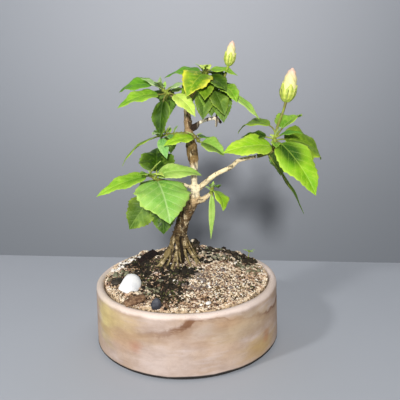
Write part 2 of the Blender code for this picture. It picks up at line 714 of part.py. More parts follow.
def main():
    clear_scene()
    materials = {
        "clay": make_material("pinkish clay", (0.62, 0.47, 0.36), 0.75),
        "soil": make_material("gritty soil", (0.22, 0.15, 0.10), 0.95),
        "bark": make_material("bonsai bark", (0.32, 0.20, 0.11), 0.9),
        "twig": make_material("green twig", (0.34, 0.42, 0.12), 0.7),
        "pale": make_material("pale bark", (0.62, 0.50, 0.30), 0.85),
        "dead": make_material("dead wood", (0.30, 0.24, 0.20), 0.95),
        "leaf": make_material("hibiscus leaf", (0.16, 0.36, 0.04), 0.5),
        "bud": make_material("furled petals", (0.82, 0.72, 0.36), 0.5),
        "white": make_material("white stone", (0.85, 0.85, 0.84), 0.5),
        "dark bark": make_material("dark bark", (0.05, 0.03, 0.03), 0.9),
    }
    build_pot(materials["clay"])
    soil = build_soil(materials["soil"])
    pebble("pebble", materials["white"])
    bark_piece("bark_piece", materials["dark bark"])
    cutters = [pebble("pebble_cutter", materials["soil"], CLEARANCE),
               bark_piece("bark_cutter", materials["soil"], CLEARANCE)]
    combine(soil, cutters, "DIFFERENCE")

    trunk_spine = smooth_spine(TRUNK, 3)
    build_trunk(trunk_spine, materials["bark"])
    limbs = {"trunk": trunk_spine}
    for name, rows in BOUGHS.items():
        limbs[name] = smooth_spine(rows, 3)
        build_bough(name, limbs[name], trunk_spine, materials["pale"])
    limbs["bough_dead"] = smooth_spine(DEAD_BOUGH, 2)
    build_bough("bough_dead", limbs["bough_dead"], trunk_spine, materials["dead"], DEAD_TWIGS)
    grow_foliage(limbs, trunk_spine, materials)


main()
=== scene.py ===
import math
import random

import bpy
import numpy as np
from mathutils import Matrix, Vector, noise


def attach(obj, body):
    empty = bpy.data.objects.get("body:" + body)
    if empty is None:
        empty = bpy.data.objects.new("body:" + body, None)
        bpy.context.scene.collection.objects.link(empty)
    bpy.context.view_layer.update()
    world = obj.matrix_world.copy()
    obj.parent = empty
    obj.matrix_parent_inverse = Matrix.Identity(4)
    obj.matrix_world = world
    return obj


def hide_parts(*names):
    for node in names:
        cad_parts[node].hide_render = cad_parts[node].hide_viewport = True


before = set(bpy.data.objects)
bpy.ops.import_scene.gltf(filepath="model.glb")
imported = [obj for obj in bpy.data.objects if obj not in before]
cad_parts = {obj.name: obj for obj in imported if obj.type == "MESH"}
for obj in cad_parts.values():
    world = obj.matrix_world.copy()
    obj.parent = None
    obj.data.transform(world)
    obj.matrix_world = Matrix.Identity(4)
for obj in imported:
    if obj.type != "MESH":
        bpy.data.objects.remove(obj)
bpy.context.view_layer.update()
mm = 0.001
print("frame loaded")


# ---- materials and meshes

def paint(red, green, blue):  # 0 to 255 as seen on a screen, to a linear colour
    linear = [((c / 255 + 0.055) / 1.055) ** 2.4 if c > 10 else c / 255 / 12.92
              for c in (red, green, blue)]
    return (*linear, 1.0)


class Finish:  # a material whose colour is laid on coat by coat
    def __init__(self, name, tone, roughness=0.6, specular=0.4):
        self.material = bpy.data.materials.new(name)
        self.material.use_nodes = True
        self.tree = self.material.node_tree
        self.shader = self.tree.nodes["Principled BSDF"]
        self.shader.inputs["Roughness"].default_value = roughness
        self.shader.inputs["Specular IOR Level"].default_value = specular
        self.place = self.add("TexCoord").outputs["Object"]
        self.colour = tone

    def add(self, kind, inputs=None, **settings):
        made = self.tree.nodes.new("ShaderNode" + kind)
        for key, value in settings.items():
            setattr(made, key, value)
        for key, value in (inputs or {}).items():
            if isinstance(value, bpy.types.NodeSocket):
                self.tree.links.new(value, made.inputs[key])
            else:
                made.inputs[key].default_value = value
        return made

    def calc(self, operation, first, second=0.0, third=0.0):
        return self.add("Math", {0: first, 1: second, 2: third}, operation=operation).outputs[0]

    def times(self, first, second):
        return self.calc("MULTIPLY", first, second)

    def mix(self, share, first, second, mode="MIX"):
        return self.add("Mix", {0: share, 6: first, 7: second},
                        data_type="RGBA", blend_type=mode).outputs[2]

    def fade(self, value, start, end, low=0.0, high=1.0):  # eased step from low to high
        return self.add("MapRange", {0: value, 1: start, 2: end, 3: low, 4: high},
                        interpolation_type="SMOOTHSTEP").outputs[0]

    def noise(self, scale, detail=3.0, rough=0.55, stretch=None, place=None):
        place = self.place if place is None else place
        if stretch:
            place = self.add("Mapping", {"Vector": place, "Scale": stretch}).outputs[0]
        return self.add("TexNoise", {"Vector": place, "Scale": scale, "Detail": detail,
                                     "Roughness": rough}).outputs["Fac"]

    def axes(self, place=None):
        return self.add("SeparateXYZ", {0: self.place if place is None else place}).outputs

    def blade(self):
        return self.add("UVMap", uv_map="blade").outputs[0]

    def mark(self, name="mark"):
        return self.add("Attribute", attribute_name=name).outputs["Fac"]

    def distance(self, centre, size):  # 1 on the surface of an ellipsoid in mm
        local = self.add("Mapping", {"Vector": self.place, "Location": [c * mm for c in centre],
                                     "Scale": [s * mm for s in size]}, vector_type="TEXTURE")
        return self.add("VectorMath", {0: local.outputs[0]}, operation="LENGTH").outputs["Value"]

    def ramp(self, share, stops):  # rows of position and colour, from 0 to 1
        made = self.add("ValToRGB", {0: share})
        elements = made.color_ramp.elements
        elements[0].color, elements[1].color = stops[0][1], stops[-1][1]
        for position, colour in stops[1:-1]:
            elements.new(position).color = colour
        return made.outputs

    def lay(self, share, tone, mode="MIX"):
        self.colour = self.mix(share, self.colour, tone, mode)

    def cloud(self, tone, grain, step, mode="MIX"):  # a tone where a noise steps up
        found = self.noise(*grain)
        self.lay(self.fade(found, *step), tone, mode)
        return found

    def done(self, height=None, depth=0.2, reach=0.3, roughness=None):
        self.tree.links.new(self.colour, self.shader.inputs["Base Color"])
        if roughness is not None:
            self.tree.links.new(roughness, self.shader.inputs["Roughness"])
        if height is not None:
            bump = self.add("Bump", {"Height": height, "Strength": depth, "Distance": reach * mm})
            self.tree.links.new(bump.outputs[0], self.shader.inputs["Normal"])
        return self.material


def settle(piece, slot, *nodes):  # the nodes a piece stands for and its body; the slot is not used
    if nodes:
        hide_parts(*nodes)
    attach(piece, "root")


def giveLayer(mesh, name, values):  # one number for each point
    mesh.attributes.new(name, "FLOAT", "POINT").data.foreach_set("value", values)


def clamp(value):
    return min(1.0, max(0.0, value))


def meshPiece(name, points, faces, materials, smooth=True):  # points in mm
    mesh = bpy.data.meshes.new(name)
    mesh.from_pydata([tuple(p) for p in (np.asarray(points, float) * mm).tolist()], [], faces)
    for material in materials:
        mesh.materials.append(material)
    made = bpy.data.objects.new(name, mesh)
    bpy.context.scene.collection.objects.link(made)
    if smooth:
        mesh.shade_smooth()
    return made


def takeOnly(thing):
    bpy.ops.object.select_all(action="DESELECT")
    thing.select_set(True)
    bpy.context.view_layer.objects.active = thing


def laid(place, turn, tilt):
    return (Matrix.Translation(Vector(place)) @ Matrix.Rotation(math.radians(turn), 4, "Z")
            @ Matrix.Rotation(math.radians(tilt), 4, "X"))


def smoothSpine(points, steps):  # Catmull-Rom through rows of x, y, z and radius
    rows = [Vector(point) for point in points]
    rows = [2 * rows[0] - rows[1]] + rows + [2 * rows[-1] - rows[-2]]
    spine = []
    for a, b, c, d in zip(rows, rows[1:], rows[2:], rows[3:]):
        for step in range(steps):
            t = step / steps
            spine.append(0.5 * (2 * b + (c - a) * t + (2 * a - 5 * b + 4 * c - d) * t ** 2
                                + (3 * b - a - 3 * c + d) * t ** 3))
    return spine + [rows[-2]]


def tubeFaces(rings, sides):  # a closed tube over rings of points
    steps = [(i * sides + k, i * sides + (k + 1) % sides)
             for i in range(rings - 1) for k in range(sides)]
    return ([(a, b, b + sides, a + sides) for a, b in steps]
            + [tuple(range(sides))[::-1], tuple(range((rings - 1) * sides, rings * sides))])


def tube(spine, sides):  # closed tube along rows of x, y, z and radius
    points, side = [], None
    for i, row in enumerate(spine):
        ahead = (spine[min(i + 1, len(spine) - 1)].xyz - spine[max(i - 1, 0)].xyz).normalized()
        if side is None:
            side = ahead.orthogonal().normalized()
        side = (side - ahead * side.dot(ahead)).normalized()
        other = ahead.cross(side)
        for k in range(sides):
            turn = math.tau * k / sides
            points.append(row.xyz + (side * math.cos(turn) + other * math.sin(turn)) * row.w)
    return points, tubeFaces(len(spine), sides)


def doubleSheet(rows, columns):  # two skins over one grid, closed all round, and their slots
    wide, count = columns + 1, (rows + 1) * (columns + 1)
    faces = []
    for a in [i * wide + k for i in range(rows) for k in range(columns)]:
        faces += [(a, a + 1, a + wide + 1, a + wide),
                  (count + a, count + a + wide, count + a + wide + 1, count + a + 1)]
    ring = (list(range(wide)) + [i * wide + columns for i in range(1, rows + 1)]
            + [rows * wide + k for k in range(columns - 1, -1, -1)]
            + [i * wide for i in range(rows - 1, 0, -1)])
    faces += [(b, a, count + a, count + b) for a, b in zip(ring, ring[1:] + ring[:1])]
    return faces, [0, 1] * (rows * columns) + [1] * len(ring)


class Heap:  # many small meshes gathered into one
    def __init__(self):
        self.points, self.faces, self.slots, self.marks, self.uvs = [], [], [], [], []

    def add(self, points, faces, slot=0, marks=None, uvs=None):
        base = len(self.points)
        self.points += [tuple(p) for p in points]
        self.faces += [tuple(base + i for i in face) for face in faces]
        self.slots += [slot] * len(faces) if isinstance(slot, int) else slot
        self.marks += marks or [0.0] * len(points)
        self.uvs += uvs or [(0.5, 0.5)] * len(points)

    def make(self, name, materials, smooth=True):
        made = meshPiece(name, self.points, self.faces, materials, smooth)
        mesh = made.data
        mesh.polygons.foreach_set("material_index", self.slots)
        if any(self.marks):
            giveLayer(mesh, "mark", self.marks)
        if any(uv != (0.5, 0.5) for uv in self.uvs):
            layer = mesh.uv_layers.new(name="blade")
            corners = np.empty(len(mesh.loops), dtype=np.int32)
            mesh.loops.foreach_get("vertex_index", corners)
            layer.data.foreach_set("uv", np.array(self.uvs, dtype=np.float32)[corners].ravel())
        return made


def lumpy(place, scale, seed=0.0):  # noise from -1 to 1 at a place in mm
    return noise.noise(Vector(place) / scale + Vector((seed, seed, seed)))


# ---- planter

planter = {
    "radius": 80.0, "height": 53.2, "wall": 7.0, "floor": 8.0, "foot": 81.4, "chamfer": 1.2,
    "sides": 180, "wallSteps": 26, "lipSteps": 12,
    "footEdge": ((2.6, 0.0), (2.3, 0.9), (0.6, 1.5), (0.0, 2.6)),  # inset and height
    "ripple": 0.22, "sway": 0.45, "pits": 0.10, "nickDepth": 0.8,
    "plainInside": 60, "plainBelow": 0.001,
    # nicks in the rim and foot: x, y, z and size
    "nicks": ((-30.4, -75.1, 52.8, 1.6), (-7.6, -80.6, 53.8, 1.3), (63.0, -46.0, 52.6, 1.4),
              (6.9, -80.7, 0.8, 1.8), (36.1, -72.5, 0.4, 2.2), (-58.0, 54.0, 52.9, 1.5)),
}

clay = {
    "body": paint(206, 187, 176), "warm": paint(208, 182, 158), "pale": paint(222, 207, 201),
    "lip": paint(246, 229, 220), "speck": paint(150, 126, 108), "footShadow": paint(38, 34, 32),
    "rust": paint(124, 80, 48), "band": paint(200, 170, 134), "scratch": paint(176, 150, 130),
    "grime": paint(212, 206, 202),
    # tide line round the wall: degrees from the front, height, half width, strength, and how
    # much of the tan band hangs below it
    "tide": ((-180, 41, 1.6, 0.6, 0.5), (-135, 33, 3.0, 0.4, 0.6), (-90, 30, 4.0, 0.1, 0.8),
             (-50, 30, 5.0, 0.0, 0.9), (-33, 33, 4.0, 0.1, 1.0), (-21, 37, 3.0, 0.35, 0.9),
             (-11, 38.5, 3.0, 0.6, 0.7), (-6, 41.0, 4.2, 0.9, 0.7), (-1, 45.4, 4.4, 1.0, 0.7),
             (3.4, 49.2, 2.8, 1.0, 0.6), (9, 49.4, 1.2, 0.8, 0.6), (18, 47.4, 1.0, 0.5, 0.7),
             (29, 44.2, 1.1, 0.15, 0.8), (43, 41.0, 1.5, 0.2, 0.8), (52, 38.4, 2.2, 0.7, 0.6),
             (66, 36.5, 1.8, 0.85, 0.5), (95, 40, 1.6, 0.5, 0.6), (140, 46, 1.4, 0.7, 0.6),
             (180, 41, 1.6, 0.6, 0.5)),
    # soft patches: colour, degrees from the front, height, half width, half height, strength
    "stains": {
        "yellow left": (paint(236, 222, 146), -56, 36, 18, 22, 0.8),
        "yellow wash": (paint(226, 204, 146), -46, 41, 28, 11, 0.7),
        "pink spot": (paint(200, 142, 114), -31, 25, 8, 8, 0.7),
        "pink halo": (paint(210, 174, 146), -42, 24, 22, 9, 0.55),
        "tan right": (paint(200, 178, 144), 32, 37, 40, 13, 0.7),
        "cream patch": (paint(216, 202, 188), 9, 41, 10, 4.5, 0.6),
        "smear": (paint(184, 150, 120), 6, 29, 15, 5, 0.4),
        "tan left": (paint(196, 168, 132), -36, 32, 28, 6, 0.6),
        "rust right": (paint(190, 140, 100), 22, 43, 14, 6, 0.4),
        "ochre low": (paint(204, 172, 110), 46, 13, 28, 12, 0.75),
        "orange at right": (paint(202, 146, 108), 52, 18, 6, 7, 0.65),
        "pale front": (paint(214, 198, 191), -8, 11, 38, 11, 0.6),
        "moss on the lip": (paint(170, 166, 116), -88, 53, 44, 5, 0.65),
        "moss behind": (paint(160, 160, 112), 165, 53, 40, 5, 0.45),
        "ochre back": (paint(204, 170, 118), 160, 20, 30, 14, 0.6),
        "rust back": (paint(172, 118, 80), -150, 40, 24, 5, 0.5),
        "yellow side": (paint(214, 190, 124), -100, 20, 28, 13, 0.5),
        "rust side": (paint(186, 134, 96), 96, 26, 20, 8, 0.5),
    },
}


def tideLine(coat, wander):  # shares of the rust line and of the band below it
    places = coat.axes()
    back = coat.times(places["Y"], -1.0)
    share = coat.calc("MULTIPLY_ADD", coat.calc("ARCTAN2", places["X"], back), 1 / math.tau, 0.5)
    tall, wide = 0.06, 0.006
    tide = coat.ramp(share, [(turn / 360 + 0.5, (level * mm / tall, half * mm / wide, line, band))
                             for turn, level, half, line, band in clay["tide"]])
    parts = coat.add("SeparateColor", {0: tide[0]}).outputs
    below = coat.calc("SUBTRACT", coat.calc("MULTIPLY_ADD", parts[0], tall, wander), places["Z"])
    half = coat.times(parts[1], wide)
    upper = coat.calc("DIVIDE", coat.calc("ABSOLUTE", below), half)
    smear = coat.times(coat.fade(coat.calc("DIVIDE", below, half), 4.0, 0.0, 0.0, 0.5),
                       coat.fade(below, -0.0005, 0.0005))
    line = coat.times(coat.calc("MAXIMUM", coat.fade(upper, 1.2, 0.3), smear), parts[2])
    band = coat.times(coat.fade(below, 0.013, 0.0), coat.fade(below, -0.0025, 0.001))
    return line, coat.times(band, tide[1])


def clayFinish():
    coat = Finish("fired_clay", clay["body"], 0.72, 0.3)
    banded = (1, 1, 5)
    coat.cloud(clay["warm"], (26, 5), (0.35, 0.68))
    coat.cloud(clay["pale"], (38, 5, 0.55, banded), (0.45, 0.8))
    streaks = coat.calc("MULTIPLY_ADD", coat.noise(34, 5, 0.65, banded), 2.0, -1.0)
    for tone, turn, level, wide, tall, strength in clay["stains"].values():
        turn, radius = math.radians(turn), planter["radius"]
        centre = (radius * math.sin(turn), -radius * math.cos(turn), level)
        far = coat.calc("MULTIPLY_ADD", streaks, 0.75, coat.distance(centre, (wide, wide, tall)))
        coat.lay(coat.fade(far, 1.25, 0.1, 0.0, strength), tone)
    line, band = tideLine(coat, coat.calc("MULTIPLY_ADD", coat.noise(85, 5, 0.6), 0.012, -0.006))
    coat.lay(coat.times(band, 0.6), clay["band"])
    broken = coat.fade(coat.noise(70, 4, 0.55, banded), 0.3, 0.5, 0.25, 0.9)
    coat.lay(coat.times(line, broken), clay["rust"])
    coat.cloud(clay["scratch"], (240, 4, 0.7, (0.35, 0.35, 5)), (0.58, 0.74, 0.0, 0.4))
    coat.cloud(clay["grime"], (46, 6, 0.68, (1, 1, 1.8)), (0.32, 0.68, 0.5, 1.0), "MULTIPLY")
    height = coat.axes()["Z"]
    # pale clay and painted highlight: the rounded top of the lip is painted lighter
    lipHighlightLine = coat.calc("ADD", height, coat.times(coat.noise(60), 0.004))
    coat.lay(coat.fade(lipHighlightLine, 0.0505, 0.0535, 0.0, 0.6), clay["lip"])
    coat.cloud(clay["speck"], (900, 2), (0.66, 0.74, 0.0, 0.55))
    # painted shadow: a dark line along the foot, where the pot meets the table
    footShadowLine = coat.calc("MULTIPLY_ADD", coat.noise(40, 3), -0.0016, height)
    coat.lay(coat.fade(footShadowLine, 0.0034, 0.0024), clay["footShadow"])
    relief = coat.calc("ADD", coat.times(coat.noise(700, 3), 0.35),
                       coat.noise(60, 4, 0.55, (1, 1, 9)))
    return coat.done(relief, 0.35, 0.5, coat.fade(coat.noise(45), 0.3, 0.7, 0.6, 0.85))


def risingSolid(name, profile, sides, material):  # a disc, extruded and scaled ring by ring
    radius, height = profile[0]
    bpy.ops.object.select_all(action="DESELECT")
    bpy.ops.mesh.primitive_circle_add(vertices=sides, radius=radius * mm, fill_type="NGON",
                                      location=(0, 0, height * mm))
    made = bpy.context.active_object
    made.name = made.data.name = name
    bpy.ops.object.mode_set(mode="EDIT")
    bpy.ops.mesh.select_all(action="SELECT")
    for nextRadius, nextHeight in profile[1:]:
        bpy.ops.mesh.extrude_region_move(
            TRANSFORM_OT_translate={"value": (0, 0, (nextHeight - height) * mm)})
        scale = nextRadius / radius
        bpy.ops.transform.resize(value=(scale, scale, 1), center_override=(0, 0, 0))
        radius, height = nextRadius, nextHeight
    bpy.ops.mesh.select_all(action="SELECT")
    bpy.ops.mesh.normals_make_consistent(inside=False)
    bpy.ops.object.mode_set(mode="OBJECT")
    bpy.ops.object.transform_apply(location=True, rotation=True, scale=True)
    made.data.materials.clear()
    made.data.materials.append(material)
    return made


def buildPlanter():
    size = planter
    lip = size["wall"] / 2
    top = size["height"] - lip
    profile = [(size["foot"] - inset, level) for inset, level in size["footEdge"]]
    for step in range(2, size["wallSteps"]):
        share = step / size["wallSteps"]
        profile.append((size["foot"] + (size["radius"] - size["foot"]) * share,
                        size["chamfer"] + (top - size["chamfer"]) * share))
    for step in range(size["lipSteps"] + 1):
        turn = math.pi * step / size["lipSteps"]
        profile.append((size["radius"] - lip + lip * math.cos(turn), top + lip * math.sin(turn)))
    inner = size["radius"] - size["wall"]
    profile += [(inner, 44.0), (inner, size["floor"] + 2), (inner - 2, size["floor"])]
    made = risingSolid("planter", profile, size["sides"], clayFinish())
    for vert in made.data.vertices:
        x, y, z = vert.co / mm
        if math.hypot(x, y) < size["plainInside"] or z < size["plainBelow"]:
            continue
        shift = size["ripple"] * noise.noise(Vector((z * 0.45, math.atan2(y, x) * 0.6, 0)))
        shift += size["sway"] * (lumpy((x, y, z * 0.6), 42) - 0.35)
        shift += size["pits"] * lumpy((x, y, z), 4.5, 9)
        for nick in size["nicks"]:
            near = (Vector((x, y, z)) - Vector(nick[:3])).length / nick[3]
            shift -= size["nickDepth"] * max(0.0, 1 - near)
        rise = 0.55 * lumpy((x, y, 0), 34, 3) - 0.25 if z > 46 else 0.0
        vert.co += (Vector((x, y, 0)).normalized() * shift + Vector((0, 0, rise))) * mm
    takeOnly(made)
    bpy.ops.object.shade_smooth_by_angle(angle=math.radians(40))
    settle(made, "clay", "pot")


buildPlanter()
print("planter done")


# ---- soil, grit and what lies on it

ground = {
    "radius": 72.3, "floor": 8.35, "wallFront": 50.6, "backRise": 3.4, "level": 60.0,
    "patch": 26.2, "centre": (-5.0, 14.0), "lumps": 0.9, "fall": 0.7, "sides": 150, "rings": 58,
    "calmFrom": 65, "calmOver": 7,
    "heap": (7.0, 41.5, 13.5, 11.5), "moundGap": 15.0, "moundRadius": (7.0, 9.5),
    "moundHeight": (1.3, 3.0), "moundSeed": 12, "moundCount": 90, "moundStart": 4.0,
    # dark mossy patches: x, y and half sizes
    "moss": ((-30, 10, 22, 20), (-20, -34, 19, 19), (-6, -10, 14, 17), (-46, 30, 14, 12),
             (52, 24, 18, 13), (24, 52, 22, 12), (-57, -10, 11, 10), (8, 44, 16, 12),
             (-12, -53, 10, 8), (-40, -16, 12, 10)),
}


def soilMounds():  # small mounds on a golden spiral, and one larger heap behind the trunk
    rng = random.Random(ground["moundSeed"])
    x, y, radius, rise = ground["heap"]
    found = [(Vector((x, y)), radius, rise)]
    for number in range(ground["moundCount"]):
        turn = math.radians(137.5 * number)
        centre = (Vector((math.cos(turn), math.sin(turn)))
                  * ground["moundGap"] * math.sqrt(number / math.pi))
        radius, rise = rng.uniform(*ground["moundRadius"]), rng.uniform(*ground["moundHeight"])
        clear = (centre - Vector(ground["centre"])).length - radius > ground["patch"]
        if clear and centre.length < planter["radius"] - planter["wall"]:
            found.append((centre, radius, rise))
    return found


mounds = soilMounds()


def soilHeight(x, y):  # the same ground as the solid's
    away = Vector((x, y)) - Vector(ground["centre"])
    distance = away.length
    if distance <= ground["patch"]:
        return ground["level"]
    ray = away / distance
    foot, inner = Vector(ground["centre"]), planter["radius"] - planter["wall"]
    lean = foot.dot(ray)
    toWall = -lean + math.sqrt(lean ** 2 + inner ** 2 - foot.length_squared)
    share = max(0.0, 1 - (distance - ground["patch"]) / (toWall - ground["patch"]))
    lump = noise.noise(Vector((x, y, 0)) * mm * 95)
    ease = min(1.0, share / 0.25) * min(1.0, (1 - share) / 0.25)
    edge = ground["wallFront"] + ground["backRise"] * (0.5 + 0.5 * ray.y)
    height = edge + (ground["level"] - edge) * share ** ground["fall"]
    height += ground["lumps"] * lump * ease
    start = min(1.0, (distance - ground["patch"]) / ground["moundStart"])
    for centre, radius, rise in mounds:
        near = (Vector((x, y)) - centre).length / radius
        if near < 1:
            height += rise * (1 - near ** 2) ** 2 * start
    return height


def roughSoil(x, y):  # the mound with crumbs and small heaps, calm where it meets the lip
    edge = clamp((math.hypot(x, y) - ground["calmFrom"]) / ground["calmOver"])
    edge *= edge * (3 - 2 * edge)
    lumps = 0.55 * lumpy((x, y, 0), 6.5, 2) + 0.35 * lumpy((x, y, 0), 2.4, 5)
    return soilHeight(x, y) + lumps * (1 - edge) + edge * (0.75 + 0.35 * y / 72)


def mossShare(x, y):
    most = 0.0
    for cx, cy, rx, ry in ground["moss"]:
        far = math.hypot((x - cx) / rx, (y - cy) / ry) + 0.35 * lumpy((x, y, 0), 7, 4)
        most = max(most, clamp((1.35 - far) / 0.75))
    return min(1.0, 0.92 * most + 0.4 * max(0.0, lumpy((x, y, 0), 8.5, 13)))


def soilFinish():
    coat = Finish("dark_crumbly_soil", paint(46, 36, 26), 0.95, 0.15)
    crumbs = coat.cloud(paint(120, 98, 72), (420, 4), (0.35, 0.65))
    coat.lay(coat.mark(), coat.mix(coat.fade(crumbs, 0.4, 0.7), paint(24, 22, 14),
                                   paint(62, 56, 32)))  # moss
    rim = coat.distance((0, 0, 52), (ground["radius"], ground["radius"], 400))
    coat.lay(coat.fade(rim, 0.955, 0.975, 0.0, 0.85),
             coat.mix(coat.fade(crumbs, 0.4, 0.6), paint(96, 78, 58), paint(206, 182, 150)))
    return coat.done(crumbs, 0.9, 0.8)


def buildSoil():
    radius, floor, rings = ground["radius"], ground["floor"], ground["rings"]
    profile = [(radius - 2, floor), (radius, floor + 2), (radius, 40.0), (radius, 48.0)]
    profile += [(radius * (1 - ring / rings), 50.0) for ring in range(1, rings)]
    made = risingSolid("soil_ground", profile, ground["sides"], soilFinish())
    marks = []
    for vert in made.data.vertices:
        x, y, z = vert.co / mm
        if z > 45:
            vert.co.z = roughSoil(x, y) * mm
        marks.append(mossShare(x, y))
    giveLayer(made.data, "mark", marks)
    made.data.shade_smooth()
    settle(made, "soil", "soil")


def gritFinish(name, light, dark):
    coat = Finish(name, light, 0.85, 0.3)
    coat.cloud(dark, (260, 3), (0.3, 0.7))
    coat.cloud(paint(206, 178, 160), (62, 4), (0.46, 0.7, 0.0, 0.75), "MULTIPLY")
    return coat.done(coat.noise(1500, 2), 0.5, 0.2)


grit = {
    # name: how many, radius range, share of moss wanted, colours
    "grit_cream": (2000, (0.5, 1.1), 0.0, paint(250, 240, 222), paint(224, 208, 184)),
    "grit_fine": (5200, (0.35, 0.7), 0.1, paint(246, 230, 202), paint(206, 182, 148)),
    "grit_tan": (1700, (0.5, 1.2), 0.15, paint(220, 194, 166), paint(176, 148, 122)),
    "grit_brown": (2400, (0.45, 1.4), 0.5, paint(156, 128, 108), paint(92, 74, 62)),
    "grit_dark": (2100, (0.5, 1.6), 0.95, paint(66, 55, 42), paint(26, 22, 17)),
    "grit_moss": (1000, (0.6, 1.4), 1.0, paint(96, 100, 56), paint(44, 50, 26)),
    "grit_white": (420, (0.5, 1.4), 0.3, paint(254, 251, 246), paint(230, 224, 214)),
}


gravel = {
    # name: how many, radius range, colours, and where: x, y and spread
    "stones_pale": (110, (1.2, 2.4), paint(234, 222, 200), paint(196, 178, 150),
                    ((-60, 32, 7), (28, 46, 10), (50, 26, 8), (-34, -40, 6), (12, 34, 6),
                     (20, 30, 8), (-36, -38, 5))),
    "stones_white": (44, (1.3, 2.9), paint(248, 245, 240), paint(216, 210, 200),
                     ((-59, 27, 4), (-63, 16, 4), (-52, 38, 4))),
    "stones_grey": (80, (1.0, 2.3), paint(140, 128, 120), paint(92, 82, 78),
                    ((34, 42, 9), (14, -18, 5), (8, -34, 9), (34, -30, 9), (12, 40, 6))),
    "stones_green": (80, (1.3, 2.8), paint(154, 154, 128), paint(86, 88, 66),
                     ((55, 14, 8), (46, 32, 8), (60, 2, 6), (-30, -38, 5), (-60, -4, 6),
                      (30, 44, 8))),
    "crumbs_dark": (210, (1.4, 3.2), paint(48, 43, 32), paint(24, 21, 16),
                    ((-30, -2, 12), (-18, -34, 11), (26, 52, 8), (50, 30, 8), (6, 38, 8),
                     (-44, 20, 8), (-8, -8, 9), (18, 20, 6))),
    "clods_dark": (30, (2.6, 4.4), paint(70, 61, 47), paint(38, 33, 26),
                   ((29, 47, 5), (48, 36, 5), (9, 47, 4), (61, 22, 4), (-20, 46, 5))),
}


golden = (1 + math.sqrt(5)) / 2
grainCorners = [Vector(c).normalized() for c in (
    (-1, golden, 0), (1, golden, 0), (-1, -golden, 0), (1, -golden, 0),
    (0, -1, golden), (0, 1, golden), (0, -1, -golden), (0, 1, -golden),
    (golden, 0, -1), (golden, 0, 1), (-golden, 0, -1), (-golden, 0, 1))]
grainFaces = ((0, 11, 5), (0, 5, 1), (0, 1, 7), (0, 7, 10), (0, 10, 11), (1, 5, 9), (5, 11, 4),
              (11, 10, 2), (10, 7, 6), (7, 1, 8), (3, 9, 4), (3, 4, 2), (3, 2, 6), (3, 6, 8),
              (3, 8, 9), (4, 9, 5), (2, 4, 11), (6, 2, 10), (8, 6, 7), (9, 8, 1))
scatter = {
    "gap": 0.8, "bigger": 1.25, "biggerShare": 0.06, "widest": 1.3,  # widest: of the radius
    "wallRadius": (0.55, 1.0), "wallBand": 2.4, "footClear": 14, "sink": 0.25,
    "fibres": 150, "fibreLength": (4, 11), "fibreRadius": 0.16, "fibreSteps": 5,
}


def gritGrain(place, radius, rng):  # an uneven icosahedron
    squash = Vector((rng.uniform(0.75, 1.3), rng.uniform(0.6, 1.0), rng.uniform(0.55, 0.9)))
    turn = Matrix.Rotation(rng.uniform(0, math.tau), 3, "Z") @ Matrix.Rotation(
        rng.uniform(-0.6, 0.6), 3, "X")
    return [Vector(place) + turn @ (c * squash * radius * rng.uniform(0.85, 1.15))
            for c in grainCorners]


def suits(x, y, wanted, rng):  # whether a grain stays, by how mossy its place is
    return rng.random() <= 1.04 - 1.12 * abs(mossShare(x, y) - wanted)


def scatterGrit():
    rng = random.Random(21)
    limit = ground["radius"] - scatter["gap"]
    for name, (count, radii, wanted, light, dark) in grit.items():
        heap = Heap()
        while len(heap.points) < count * len(grainCorners):
            away, turn = limit * math.sqrt(rng.random()), rng.uniform(0, math.tau)
            x, y = away * math.cos(turn), away * math.sin(turn)
            if not suits(x, y, wanted, rng):
                continue
            radius = rng.uniform(*radii) * (
                scatter["bigger"] if rng.random() < scatter["biggerShare"] else 1.0)
            if away + radius * scatter["widest"] > limit + 1.0:
                continue
            z = roughSoil(x, y) + radius * rng.uniform(-0.1, 0.45)
            heap.add(gritGrain((x, y, z), radius, rng), grainFaces)
        for _ in range(count // 4):  # more against the wall, where the soil meets the clay
            radius, turn = rng.uniform(*scatter["wallRadius"]), rng.uniform(0, math.tau)
            away = limit + 1.1 - radius * 1.1 - rng.uniform(0, scatter["wallBand"])
            x, y = away * math.cos(turn), away * math.sin(turn)
            if suits(x, y, wanted, rng):
                z = roughSoil(x, y) + rng.uniform(-1.4 if away > 70 else 0.0, 0.6)
                heap.add(gritGrain((x, y, z), radius, rng), grainFaces)
        settle(heap.make(name, [gritFinish(name, light, dark)], smooth=False), "soil")


def scatterStones():  # small stones and crumbs of soil, thickest at the back
    rng = random.Random(31)
    for name, (count, radii, light, dark, places) in gravel.items():
        heap = Heap()
        for number in range(count):
            cx, cy, spread = places[number % len(places)]
            x, y = rng.gauss(cx, spread), rng.gauss(cy, spread)
            radius = rng.uniform(*radii)
            fromFoot = math.hypot(x - ground["centre"][0], y - ground["centre"][1])
            outside = math.hypot(x, y) + radius * scatter["widest"] > ground["radius"]
            if outside or fromFoot < scatter["footClear"]:
                continue
            grain = gritGrain((0, 0, 0), 1.0, rng)
            place = Vector((x, y, roughSoil(x, y) + radius * scatter["sink"]))
            heap.add([place + p * radius for p in grain], grainFaces)
        settle(heap.make(name, [gritFinish(name, light, dark)], smooth=False), "soil")


def strawFibres():
    rng = random.Random(5)
    heap, steps = Heap(), scatter["fibreSteps"]
    for _ in range(scatter["fibres"]):
        away, turn = 68 * math.sqrt(rng.random()), rng.uniform(0, math.tau)
        x, y = away * math.cos(turn), away * math.sin(turn)
        heading, length = rng.uniform(0, math.tau), rng.uniform(*scatter["fibreLength"])
        rows = []
        for _ in range(steps):
            x += math.cos(heading) * length / steps
            y += math.sin(heading) * length / steps
            if math.hypot(x, y) > 70:
                break
            heading += rng.uniform(-0.5, 0.5)
            rows.append(Vector((x, y, roughSoil(x, y) + rng.uniform(0.5, 1.3),
                                scatter["fibreRadius"])))
        if len(rows) > 2:
            heap.add(*tube(rows, 3))
    straw = gritFinish("dry_fibre", paint(206, 184, 140), paint(160, 132, 92))
    settle(heap.make("straw_fibres", [straw]), "soil")


